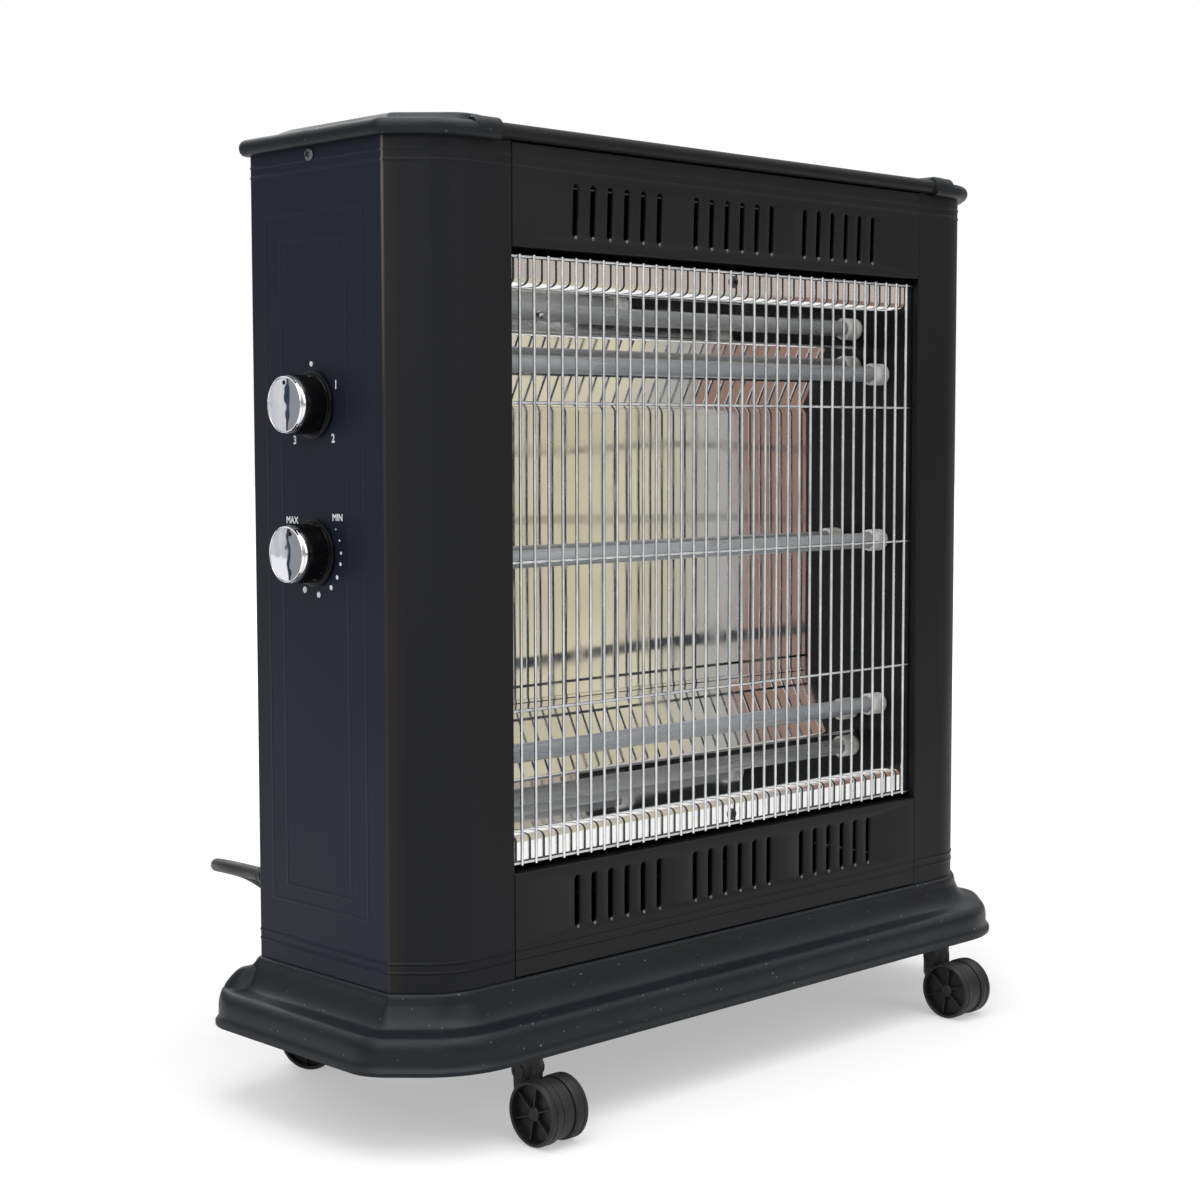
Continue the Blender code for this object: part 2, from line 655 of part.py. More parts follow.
def swollen(run, swell):
    """A plinth run with its rear corner bulged outwards by swell."""
    cx, cy = HALF_WIDTH - REAR_RADIUS, CASING_BACK - REAR_RADIUS
    shaped = []
    for x, y in run:
        if x > cx and y > cy:
            turn = math.atan2(y - cy, x - cx)
            reach = math.hypot(x - cx, y - cy) + swell * math.sin(2 * turn) ** 2
            x, y = cx + reach * math.cos(turn), cy + reach * math.sin(turn)
        shaped.append((x, y))
    return shaped


def plinth():
    """The moulded skirt, and the floor plate with the sockets for the casters."""
    height = PLINTH_TOP - PLINTH_LOW
    section = [                     # shares of the overhang and the height, corner swelling
        (0.03, 1.0, 0),
        (0.085, 0.965, 0),
        (0.115, 0.865, 2.5 * MM),
        (0.14, 0.81, 9.8 * MM),
        (0.25, 0.655, 13.2 * MM),
        (0.39, 0.555, 12 * MM),
        (0.56, 0.525, 7.5 * MM),
        (0.74, 0.5, 3.4 * MM),
        (0.86, 0.42, 1.1 * MM),
        (0.905, 0.3, 0.7 * MM),
        (0.915, 0.13, 0.6 * MM),
        (1.0, 0.055, 0),
        (1.0, 0.0, 0),
    ]
    loops = []
    for share, rise, swell in section:
        run = swollen(corner_run(LIP_OVERHANG * share, 0, rear_steps=4)[1:-1], swell)
        loops.append([(x, y, PLINTH_LOW + height * rise) for x, y in run + mirrored(run)])
    skirt = loft("plinth", loops, PLINTH_PLASTIC, open_end=True)
    shell = skirt.modifiers.new("wall", "SOLIDIFY")
    shell.thickness = PLINTH_WALL
    shell.use_even_offset = True
    shell.offset = -1

    edge = LIP_OVERHANG - PLINTH_WALL - 4 * GAP
    run = corner_run(edge, 0)[1:-1]
    floor = prism("plinth_floor", run + mirrored(run), "Z", FLOOR_LOW, FLOOR_LOW + FLOOR_PLATE, BLACK_PLASTIC)
    x, y = FLOOR_MOUTH[0] / 2, FLOOR_MOUTH[1] / 2
    mouth = [(-x, -y), (x, -y), (x, y), (-x, y)]
    ends = (FLOOR_LOW - FLOOR_PLATE, FLOOR_LOW + FLOOR_PLATE * 2)
    cut(floor, prism("plinth_floor_mouth", mouth, "Z", *ends, BLACK_PLASTIC, helper=True))
    for corner, x, y, _ in caster_places():
        top = FLOOR_LOW + STEM_LENGTH + FLOOR_PLATE
        socket = rod(
            corner + "_socket", (x, y, FLOOR_LOW + FLOOR_PLATE / 2), (x, y, top),
            STEM_RADIUS + RUNNING + SOCKET_WALL, BLACK_PLASTIC, 12, helper=True,
        )
        join(floor, socket)
    for corner, x, y, _ in caster_places():
        bore = rod(
            corner + "_stem_bore", (x, y, FLOOR_LOW - 5 * MM), (x, y, FLOOR_LOW + STEM_LENGTH * 2),
            STEM_RADIUS + RUNNING, BLACK_PLASTIC, 12, helper=True,
        )
        cut(floor, bore)


def caster_places():
    """Name, stem place and turn of each caster. Unturned, it trails towards the back."""
    return [
        ("front_left", -FRONT_CASTER_X, -CASTER_Y, math.pi),
        ("front_right", FRONT_CASTER_X, -CASTER_Y, math.pi),
        ("rear_left", -REAR_CASTER_X, CASTER_Y, REAR_LEFT_TURN),
        ("rear_right", REAR_CASTER_X, CASTER_Y, 0),
    ]


def caster(corner, x, y, turn):
    """A twin-wheel caster: the frame swivels on its stem, and two wheels turn on the axle."""
    swivel = empty(corner + "_swivel", (x, y, 0))
    swivel.rotation_euler = (0, 0, turn)
    axle_at = (0, TRAIL, WHEEL_RADIUS)
    web = rod(
        corner + "_web_disc", (-WEB_WIDTH / 2, *axle_at[1:]), (WEB_WIDTH / 2, *axle_at[1:]),
        WEB_RADIUS, BLACK_PLASTIC, 16, helper=True, parent=swivel,
    )
    boss_top = FLOOR_LOW - BOSS_PLAY
    frame = rod(
        "caster_frame_" + corner, (0, 0, BOSS_LOW), (0, 0, boss_top), BOSS_RADIUS, BLACK_PLASTIC, 14,
        parent=swivel,
    )
    join(frame, web)
    stem = rod(
        corner + "_stem", (0, 0, boss_top - STEM_RADIUS), (0, 0, FLOOR_LOW - GAP + STEM_LENGTH), STEM_RADIUS,
        BLACK_PLASTIC, 8, helper=True, parent=swivel,
    )
    join(frame, stem)
    for side in (-1, 1):
        clear = rod(
            f"{corner}_wheel_room_{'ab'[side > 0]}",
            (side * WEB_WIDTH / 2, *axle_at[1:]),
            (side * (WEB_WIDTH / 2 + BOSS_RADIUS * 2), *axle_at[1:]),
            WHEEL_RADIUS + RUNNING * 2, BLACK_PLASTIC, 16, helper=True, parent=swivel,
        )
        cut(frame, clear)
    bore = rod(
        corner + "_axle_bore", (-WEB_WIDTH, *axle_at[1:]), (WEB_WIDTH, *axle_at[1:]),
        AXLE_RADIUS + GAP, BLACK_PLASTIC, 8, helper=True, parent=swivel,
    )
    cut(frame, bore)

    axle = empty(corner + "_axle_line", axle_at, swivel)
    reach = WEB_WIDTH / 2 + RUNNING + WHEEL_WIDTH - WHEEL_RECESS
    rod("caster_axle_" + corner, (-reach, 0, 0), (reach, 0, 0), AXLE_RADIUS, STEEL, 8, parent=axle)
    inner = WEB_WIDTH / 2 + RUNNING
    outer = inner + WHEEL_WIDTH
    floor = outer - WHEEL_RECESS + GAP
    profile = [
        (0, floor + WHEEL_WEB),
        (WHEEL_RADIUS - WHEEL_RIM, floor + WHEEL_WEB),
        (WHEEL_RADIUS - WHEEL_RIM, outer),
        (WHEEL_RADIUS, outer),
        (WHEEL_RADIUS, inner),
        (AXLE_RADIUS + RUNNING, inner),
        (AXLE_RADIUS + RUNNING, floor),
        (0, floor),
    ]
    for label, direction in (("a", "-X"), ("b", "+X")):
        turned(
            f"caster_wheel_{corner}_{label}", profile, direction, (0, 0, 0), BLACK_PLASTIC,
            steps=16, parent=axle,
        )


def wire_guard():
    """Upright wires welded in front of the cross wires."""
    half = WIRE / 2
    span = (UPRIGHT_WIRES - 1) * WIRE_PITCH
    bm = bmesh.new()
    for i in range(UPRIGHT_WIRES):
        x = -span / 2 + i * WIRE_PITCH
        bmesh.ops.create_cube(bm, size=1)
        fresh = bm.verts[-8:]
        bmesh.ops.scale(bm, vec=(WIRE, WIRE, GUARD_HIGH - GUARD_LOW + WIRE), verts=fresh)
        bmesh.ops.translate(bm, vec=(x, GUARD_Y, WINDOW_MIDDLE), verts=fresh)
    guard = adopt("wire_guard", settle(bm, "wire_guard"), CHROME)
    levels = [
        GUARD_LOW,
        GUARD_LOW + LOWER_QUARTER_WIRE,
        WINDOW_MIDDLE,
        GUARD_HIGH - UPPER_QUARTER_WIRE,
        GUARD_HIGH,
    ]
    reach = PLATE_INNER - GAP
    bm = bmesh.new()
    for z in levels:
        bmesh.ops.create_cube(bm, size=1)
        fresh = bm.verts[-8:]
        bmesh.ops.scale(bm, vec=(reach * 2, WIRE, WIRE * 0.9), verts=fresh)
        bmesh.ops.translate(bm, vec=(0, GUARD_Y + half * 1.3, z), verts=fresh)
    join(guard, adopt("cross_wires", settle(bm, "cross_wires"), CHROME, helper=True))


def reflector():
    """The polished trough behind the tubes, and the two screws that hold it."""
    front = CASING_FRONT + REFLECTOR_FRONT
    folds = [(0, 0), (0, FLANGE_RISE), (REFLECTOR_KNEE - REFLECTOR_FRONT, KNEE_RISE),
             (REFLECTOR_BACK - REFLECTOR_FRONT, FACET_RISE)]
    path = [(front + depth, GUARD_HIGH - rise) for depth, rise in folds]
    path += [(front + depth, GUARD_LOW + rise) for depth, rise in reversed(folds)]
    made = folded_sheet("reflector", path, "X", -END_OUTER, END_OUTER, MIRROR, REFLECTOR_SHEET)
    for place, edge, way in (("upper", GUARD_HIGH, -1), ("lower", GUARD_LOW, 1)):
        seat = Vector((REFLECTOR_SCREW_X, front - GAP, edge + way * REFLECTOR_SCREW_INSET))
        screw("reflector_screw_" + place, REFLECTOR_SCREW_HEAD, seat, "-Y")
        reach = Vector((0, SCREW_HEAD_HEIGHT * 3, 0))
        cut(made, rod(place + "_screw_hole", seat - reach, seat + reach, SCREW_SHANK + GAP, MIRROR, helper=True))


def tube_plate(name, side):
    """The dark inner wall of the window that carries the tube ends."""
    inner, outer = sorted((side * PLATE_INNER, side * PLATE_OUTER))
    plate = block(
        name,
        (inner, GUARD_Y + WIRE, WINDOW_LOW + GAP),
        (outer, CASING_FRONT + TUBE_PLATE_DEPTH, WINDOW_HIGH - GAP),
        POWDER_COAT,
    )
    for level, z in TUBE_LEVELS.items():
        ends = [(side * (PLATE_INNER + reach), TUBE_Y, z) for reach in (-SHEET * 3, SHEET * 4)]
        hole = rod(f"{name}_{level}_hole", *ends, END_NECK + GAP, POWDER_COAT, helper=True)
        cut(plate, hole)


def quartz_tubes():
    """Three tubes, the spirals in them, and the ceramic ends that hold them."""
    half = SOCKET_FLOOR - GAP
    length = half * 2
    end_profile = [
        (TUBE_RADIUS + GAP, 0),
        (END_RADIUS - 1.4 * MM, 0),
        (END_RADIUS, 1.6 * MM),
        (END_RADIUS, END_LENGTH),
        (END_NECK, END_LENGTH),
        (END_NECK, END_LENGTH + SHEET + NECK_REACH),
        (LEAD_RADIUS + GAP, END_LENGTH + SHEET + NECK_REACH),
        (LEAD_RADIUS + GAP, END_SOCKET),
        (TUBE_RADIUS + GAP, END_SOCKET),
    ]
    end_profile = [(r, -h) for r, h in end_profile]
    pin = 5 * MM
    for level, z in TUBE_LEVELS.items():
        tube_profile = [(TUBE_BORE, length), (TUBE_RADIUS, length), (TUBE_RADIUS, 0), (TUBE_BORE, 0)]
        turned("quartz_tube_" + level, tube_profile, "+X", (-half, TUBE_Y, z), QUARTZ, steps=16)
        spiral_profile = [
            (0, length),
            (SPIRAL_PIN, length),
            (SPIRAL_PIN, length - pin),
            (SPIRAL_RADIUS, length - pin),
            (SPIRAL_RADIUS, pin),
            (SPIRAL_PIN, pin),
            (SPIRAL_PIN, 0),
            (0, 0),
        ]
        turned("heating_spiral_" + level, spiral_profile, "+X", (-half, TUBE_Y, z), HEATING_ALLOY, steps=10)
        for place, side, direction in (("left", -1, "+X"), ("right", 1, "-X")):
            mouth = side * (END_OUTER - END_LENGTH)
            turned(
                f"tube_end_{place}_{level}", end_profile, direction, (mouth, TUBE_Y, z), CERAMIC, steps=12,
            )


def dial(name, z, body_size):
    """A knob with its chromed face and shaft, and the body behind the panel that it works."""
    depth, across, tall = body_size
    body_outer = -SIDE_INNER + GAP
    body = block(
        name,
        (body_outer, DIAL_Y - across / 2, z - tall / 2),
        (body_outer + depth, DIAL_Y + across / 2, z + tall / 2),
        BLACK_PLASTIC,
        bevel=2 * MM,
    )
    shaft_end = body_outer + SHAFT_IN_BODY
    ends = [(body_outer - SHEET, DIAL_Y, z), (shaft_end + GAP, DIAL_Y, z)]
    cut(body, rod(name + "_bore", *ends, SHAFT_RADIUS + RUNNING, BLACK_PLASTIC, helper=True))

    axis = empty(name + "_axis", (-HALF_WIDTH, DIAL_Y, z))
    start = KNOB_STANDOFF
    end = start + KNOB_LENGTH
    bore = SHAFT_RADIUS + GAP
    knob_profile = [
        (0, end),
        (KNOB_BODY_RADIUS - 0.9 * MM, end),
        (KNOB_BODY_RADIUS - 0.1 * MM, end - 0.9 * MM),
        (KNOB_BODY_RADIUS, start + KNOB_RIM + 0.4 * MM),
        (KNOB_RADIUS - 0.4 * MM, start + KNOB_RIM),
        (KNOB_RADIUS, start + KNOB_RIM / 2),
        (KNOB_RADIUS - 0.6 * MM, start),
        (bore, start),
        (bore, start + SHAFT_IN_KNOB + GAP),
        (0, start + SHAFT_IN_KNOB + GAP),
    ]
    turned(name + "_knob", knob_profile, "-X", (0, 0, 0), BLACK_PLASTIC, steps=24, parent=axis)
    foot = end + GAP
    face_profile = [
        (0, foot + FACE_LENGTH * 0.94),
        (FACE_RADIUS * 0.5, foot + FACE_LENGTH * 0.92),
        (FACE_RADIUS - 1.6 * MM, foot + FACE_LENGTH * 0.86),
        (FACE_RADIUS - 0.9 * MM, foot + FACE_LENGTH),
        (FACE_RADIUS, foot + FACE_LENGTH * 0.8),
        (FACE_RADIUS, foot),
        (0, foot),
    ]
    turned(name + "_knob_face", face_profile, "-X", (0, 0, 0), CHROME, steps=24, parent=axis)
    reach = HALF_WIDTH + shaft_end
    rod(
        name + "_shaft", (-(start + SHAFT_IN_KNOB), 0, 0), (reach, 0, 0), SHAFT_RADIUS, STEEL, 12,
        parent=axis,
    )


def wiring():
    """The terminal block with its inlet tail, and the looms to the ends of the tubes."""
    width, depth, tall = TERMINAL_SIZE
    z = CORD_Z + TERMINAL_RISE
    back = BACK_PANEL_INNER - GAP
    terminal = block(
        "terminal_block",
        (CORD_X - width / 2, back - depth, z - tall / 2),
        (CORD_X + width / 2, back, z + tall / 2),
        CERAMIC,
        bevel=1 * MM,
    )
    tail_y = back - depth * 0.6
    relief_inner = back - 2.5 * MM
    tail = [
        (CORD_X, relief_inner - GAP, CORD_Z),
        (CORD_X, tail_y + 2 * MM, CORD_Z),
        (CORD_X, tail_y, CORD_Z + 2 * MM),
        (CORD_X, tail_y, z),
    ]
    join(terminal, solid_tube("inlet_tail", tail, LOOM_RADIUS, CORD_PLASTIC, helper=True))

    levels = sorted(TUBE_LEVELS.values())
    for name, side in (("feed_loom", -1), ("return_loom", 1)):
        x = side * LOOM_X
        trunk = rod(
            name, (x, TUBE_Y, levels[0] - LOOM_RADIUS), (x, TUBE_Y, levels[-1] + LOOM_RADIUS),
            LOOM_RADIUS, WIRE_PLASTIC, 8,
        )
        for i, level in enumerate(levels):
            ends = [(x, TUBE_Y, level), (side * (SOCKET_FLOOR + GAP), TUBE_Y, level)]
            join(trunk, rod(f"{name}_lead_{i}", *ends, LEAD_RADIUS, WIRE_PLASTIC, 8, helper=True))
        if side < 0:
            switch_face = -SIDE_INNER + GAP + SWITCH_SIZE[0] + GAP
            run = [
                (x, TUBE_Y, SWITCH_Z - 20 * MM),
                (x - 8 * MM, TUBE_Y + 25 * MM, SWITCH_Z - 10 * MM),
                (switch_face + 14 * MM, DIAL_Y - 8 * MM, SWITCH_Z - 2 * MM),
                (switch_face + 8 * MM, DIAL_Y, SWITCH_Z),
                (switch_face, DIAL_Y, SWITCH_Z),
            ]
        else:
            terminal_face = CORD_X + width / 2 + GAP
            run = [
                (x, TUBE_Y, levels[0] + 6 * MM),
                (x, TUBE_Y + LOOM_SWEEP, levels[0] - LOOM_DROP),
                (x - LOOM_SWEEP * 1.25, back - depth * 0.5 - LOOM_SWEEP / 2, z + LOOM_DROP / 3),
                (0, back - depth * 0.5, z),
                (terminal_face + LOOM_SWEEP / 2, back - depth * 0.5, z),
                (terminal_face, back - depth * 0.5, z),
            ]
        join(trunk, solid_tube(name + "_run", run, LEAD_RADIUS, WIRE_PLASTIC, helper=True))


def cord_route():
    """The free stretch: straight out of the strain relief, round behind the casing, down to
    the floor, and up to the coil."""
    coil, _ = coil_route()
    return [Vector(point) * MM for point in (
        (CORD_X / MM, CORD_START_Y / MM, CORD_Z / MM),
        (-240, 136, 131.7),
        (-240, 154, 131.5),
        (-236, 170.5, 129.5),
        (-226.5, 183.5, 126),
        (-212, 191.5, 121),
        (-194.5, 195.5, 114),
        (-177, 195.5, 102),
        (-161.5, 192, 87),
        (-149, 186.5, 70),
        (-138, 180, 52),
        (-126, 173, 35),
        (-112, 166, 19.5),
        (-96, 160, 8.5),
        (-79.5, 153, 5),
    )] + [coil[0] - coil_heading(0) * GAP]


def coil_heading(turns):
    angle = COIL_START + turns * 2 * math.pi
    return Vector((-math.sin(angle), math.cos(angle), 0))


def coil_route():
    """The stored length: in by turns on the floor, up one layer, out again on top."""
    cx, cy = COIL_CENTRE
    middle = COIL_TURNS / 2
    climb = 0.25
    count = round(COIL_TURNS * COIL_STEPS)
    turned_by = [COIL_TURNS * step / count for step in range(count + 1)]
    points = []
    for turns in turned_by:
        radius = COIL_OUTER - COIL_PITCH * (middle - abs(turns - middle))
        rise = min(max((turns - middle + climb) / (climb * 2), 0), 1)
        z = COIL_REST + COIL_LAYER * (1 - math.cos(math.pi * rise)) / 2
        angle = COIL_START + turns * 2 * math.pi
        points.append(Vector((cx + radius * math.cos(angle), cy + radius * math.sin(angle), z)))
    last = coil_heading(COIL_TURNS)
    lift = Vector((0, 0, PLUG_RADIUS + GAP - points[-1].z))
    lead_in = [points[0] - coil_heading(0) * CORD_RADIUS * 2]
    lead_out = [
        points[-1] + last * CORD_RADIUS * 3 + lift * 0.3,
        points[-1] + last * CORD_RADIUS * 6 + lift,
        points[-1] + last * CORD_RADIUS * 8.5 + lift,
    ]
    return lead_in + points + lead_out, last


def least_gap(points, radius, skip):
    """The least distance between two stretches of a tube, surface to surface."""
    least = min(
        (a - b).length
        for i, a in enumerate(points)
        for b in points[i + skip:]
    )
    return least - radius * 2


def mains():
    """Strain relief, free cord, coil and plug."""
    inner_y = BACK_PANEL_INNER - GAP
    profile = [
        (0, CORD_START_Y - GAP - inner_y),
        (RELIEF_TIP, CORD_START_Y - GAP - inner_y),
        (RELIEF_FLANGE - 1.4 * MM, 6 * MM),
        (RELIEF_FLANGE, 5 * MM),
        (RELIEF_FLANGE, BACK_PANEL_OUTER + GAP - inner_y),
        (RELIEF_NECK, BACK_PANEL_OUTER + GAP - inner_y),
        (RELIEF_NECK, 0),
        (RELIEF_FLANGE - 1 * MM, 0),
        (RELIEF_FLANGE - 1 * MM, -2.5 * MM),
        (0, -2.5 * MM),
    ]
    turned("cord_strain_relief", profile, "+Y", (CORD_X, inner_y, CORD_Z), CORD_PLASTIC, steps=14)
    tube("mains_cord", cord_route(), CORD_RADIUS, CORD_PLASTIC, resolution=2)
    route, heading = coil_route()
    tube("cord_coil", route, CORD_RADIUS, CORD_PLASTIC)
    print("least gap of the coil, mm:", round(least_gap(route, CORD_RADIUS, 12) / MM, 3))
    free = cord_route()
    for name, line in (("free cord", free), ("coil", route)):
        print(name, "length, mm:", round(sum((b - a).length for a, b in zip(line, line[1:])) / MM, 1))

    plug = empty("plug_axis", route[-1] + heading * GAP)
    plug.rotation_euler = (0, 0, math.atan2(heading.y, heading.x))
    body = turned("mains_plug", [
        (0, PLUG_LENGTH),
        (PLUG_RADIUS - 1 * MM, PLUG_LENGTH),
        (PLUG_RADIUS, PLUG_LENGTH - 1 * MM),
        (PLUG_RADIUS, PLUG_LENGTH * 0.62),
        (PLUG_GRIP * 1.3, PLUG_LENGTH * 0.36),
        (PLUG_GRIP, 0.5 * MM),
        (PLUG_GRIP - 0.5 * MM, 0),
        (0, 0),
    ], "+X", (0, 0, 0), CORD_PLASTIC, steps=20, parent=plug)
    for label, way in (("a", -1), ("b", 1)):
        y = way * PIN_SPACING / 2
        ends = [(PLUG_LENGTH - 4 * MM, y, 0), (PLUG_LENGTH + PIN_LENGTH, y, 0)]
        join(body, rod("pin_" + label, *ends, PIN_RADIUS, STEEL, 10, helper=True, parent=plug))


casing()
roof()
plinth()
for place in caster_places():
    caster(*place)
wire_guard()
reflector()
tube_plate("tube_plate_left", -1)
tube_plate("tube_plate_right", 1)
quartz_tubes()
dial("rotary_switch", SWITCH_Z, SWITCH_SIZE)
dial("thermostat", THERMOSTAT_Z, THERMOSTAT_SIZE)
wiring()
mains()
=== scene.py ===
# Looks of a quartz room heater: a charcoal powder-coated casing on a moulded plinth with four
# casters, and a chromed wire guard before a polished reflector and three quartz tubes.
# Metres, +Z up, front towards -Y, the origin on the floor below the middle of the casing.
import math

import bmesh
import bpy
from mathutils import Matrix, Vector


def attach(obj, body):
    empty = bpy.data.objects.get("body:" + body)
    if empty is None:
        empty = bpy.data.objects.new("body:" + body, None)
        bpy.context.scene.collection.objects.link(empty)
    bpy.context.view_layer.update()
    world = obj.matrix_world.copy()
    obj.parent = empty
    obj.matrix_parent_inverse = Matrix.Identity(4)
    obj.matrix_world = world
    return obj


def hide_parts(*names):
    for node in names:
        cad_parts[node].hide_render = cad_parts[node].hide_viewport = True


MM = 0.001

# Camera
EYE = (-1035.0838886237905, -1016.9257282466394, 412.97684312967306)       # millimetres
EYE_TURNS = (-44.188800622963264, -4.343733773048233, -0.0878692517940716)  # yaw, pitch, roll
FOCAL_PIXELS = 2140.893424401939
PHOTO_WIDTH = 1200
SENSOR = 36

# Casing
HALF_WIDTH = 268 * MM
FRONT = -78 * MM
BACK = 78 * MM
CASING_BOTTOM = 90 * MM
CASING_TOP = 585 * MM
CHAMFER = 27 * MM
CHAMFER_BLEND = 38 * MM
CREASE_RADIUS = 1.5 * MM
REAR_RADIUS = 2 * MM
SHEET = 1.0 * MM
GAP = 0.3 * MM
SEAM = 193.3 * MM
PLATE_OUTER = SEAM - GAP
PANEL_RETURN = 16 * MM
BACK_RETURN = 14 * MM
FASCIA_RETURN = 12 * MM
RIDGE = 0.55 * MM
RIDGE_HALF = 1.1 * MM
TOP_RIDGES = (570.3 * MM, 576.3 * MM)
BOTTOM_RIDGES = (101.6 * MM, 107 * MM)
SIDE_SCREW_PLACE = (-HALF_WIDTH - GAP, 17 * MM, CASING_TOP - 5.6 * MM)
SIDE_SCREW = 4 * MM

# Back panel
BACK_EDGE = 265 * MM
BACK_Y = 76.7 * MM
BACK_SLOT_LEVELS = (135 * MM, 540 * MM)
BACK_SLOT_PITCH = 60 * MM
BACK_SLOT_LENGTH = 30 * MM
BACK_SLOT_WIDTH = 5 * MM
HOOD = (5.2 * MM, 3.2 * MM, 17.5 * MM)
BACK_SCREW = 3.4 * MM
BACK_SCREW_X = 247 * MM
BACK_SCREW_LEVELS = (118 * MM, 338 * MM, 560 * MM)

# Window, fascia slots, guard
WINDOW_LOW = 153 * MM
WINDOW_HIGH = 524.5 * MM
WINDOW_MIDDLE = (WINDOW_LOW + WINDOW_HIGH) / 2
SLOT_LENGTH = 31 * MM
SLOT_WIDTH = 4.4 * MM
SLOT_PITCH = 14.4 * MM
GROUP_PITCH = 105.4 * MM
TOP_SLOTS_Z = 548.5 * MM
BOTTOM_SLOTS_Z = 129.5 * MM
TOP_BAND = (528 * MM, 568 * MM)
BOTTOM_BAND = (109.5 * MM, 150 * MM)
TOP_LEAN = 0.035
SLOT_RIM = 1.1 * MM
SLOT_DISH = ((0.25, 0.15), (0.5, 0.6), (0.35, 0.8), (0, 0.6))  # steps inwards and back, millimetres
NUB_SIZE = (1.15 * MM, 0.6 * MM, 1.15 * MM)
WIRE = 2.0 * MM
WIRE_PITCH = 11.5 * MM
UPRIGHT_WIRES = 33
GUARD_Y = -74 * MM
CROSS_LEVELS = [z * MM for z in (158, 250, 338.75, 433.5, 519.5)]
CROSS_REACH = 191.7 * MM
CROSS_BEHIND = 1.3 * MM

# Reflector and tubes
REFLECTOR_LOW = 158 * MM
REFLECTOR_HIGH = 519.5 * MM
REFLECTOR_FRONT = -71 * MM
REFLECTOR_BACK = -26 * MM
REFLECTOR_SHEET = 0.7 * MM
REFLECTOR_FOLDS = (                 # depth, distance from the edge, bend radius, steps
    (REFLECTOR_FRONT, 0, 0, 0),
    (REFLECTOR_FRONT, 17 * MM, 9 * MM, 12),
    (-37 * MM, 42.5 * MM, 5 * MM, 8),
    (REFLECTOR_BACK, 88.8 * MM, 25 * MM, 8),
)
FLANGE_SCREW = 3.9 * MM
FLANGE_SCREW_X = 5.7 * MM
FLANGE_SCREW_INSET = 6 * MM
CORNER_SCREW = 2.6 * MM
CORNER_SCREW_PLACE = (-146.5 * MM, -51.2 * MM, 487.1 * MM)
TUBE_Y = -46 * MM
TUBE_LEVELS = {"upper": 457.74 * MM, "middle": 338.75 * MM, "lower": 219.76 * MM}
TUBE_HALF = 185.9 * MM
END_MOUTH = 177.2 * MM
END_SEAT = 191.7 * MM
SPIRAL_TURNS = 86
SPIRAL_STEPS = 12
SPIRAL_RADIUS = 3 * MM
SPIRAL_WIRE = 0.45 * MM
SPIRAL_PIN = 5 * MM

# Roof
BEAD_RADIUS = 4.6 * MM
BEAD_Z = CASING_TOP + GAP + BEAD_RADIUS
BEAD_Y = 79 * MM
ROOF_HALF = 205 * MM
ROOF_CROWN = 3 * MM
ROOF_SHEET = 1.2 * MM
CAP_OVERHANG = 7 * MM
CAP_RIM = 8.6 * MM
CAP_DOME = 13.5 * MM
CAP_ROUND = (                       # shares of the overhang and of the rim's height
    (0.0, -0.16), (0.5, -0.16), (0.72, -0.11), (0.9, 0.06), (0.98, 0.24), (1.0, 0.42),
    (0.97, 0.58), (0.87, 0.75), (0.7, 0.88), (0.48, 0.96), (0.1, 1.01), (-0.3, 1.04),
)
CAP_PAD = (                         # inset, share of the dome, inner end, rear, lead, blend; millimetres
    (4.2, 0.68, 0.4, 16, 2, 29), (6, 0.76, 1, 12, 3, 26), (8, 0.87, 4, 6, 4.5, 22),
    (10, 0.95, 7, 2, 6, 18), (13, 0.99, 10, -3, 8, 15), (17, 1.0, 13, -7, 10, 12),
)
COLLAR_RADIUS = 6.2 * MM
COLLAR_LENGTH = 20 * MM

# Plinth and casters
PLINTH_TOP = 89.7 * MM
PLINTH_LOW = 48.5 * MM
LIP_OVERHANG = 29 * MM
PLINTH_WALL = 1.6 * MM
PLINTH_SECTION = (                  # shares of overhang and height, bulge at the rear corners in millimetres
    (0.03, 1.0, 0), (0.085, 0.965, 0), (0.115, 0.865, 2.5), (0.14, 0.81, 9.8), (0.25, 0.655, 13.2),
    (0.39, 0.555, 12), (0.56, 0.525, 7.5), (0.74, 0.5, 3.4), (0.86, 0.42, 1.1), (0.905, 0.3, 0.7),
    (0.915, 0.13, 0.6), (1.0, 0.055, 0),
)
PLINTH_FOOT = (1.0, 0.0, 0)
DECK_INSET = (-0.35, 1.0, 0)
CASTERS = (
    ("front_left", -199 * MM, -95 * MM, math.pi),
    ("front_right", 199 * MM, -95 * MM, math.pi),
    ("rear_left", -192 * MM, 95 * MM, math.radians(32)),
    ("rear_right", 192 * MM, 95 * MM, 0.0),
)
TRAIL = 18 * MM
WHEEL_RADIUS = 19.5 * MM
WHEEL_INNER = 4.9 * MM
WHEEL_OUTER = 14.5 * MM
WHEEL_RECESS = 5.2 * MM
WHEEL_RIM = 2.4 * MM
SPOKES = 6
TREADS = 28

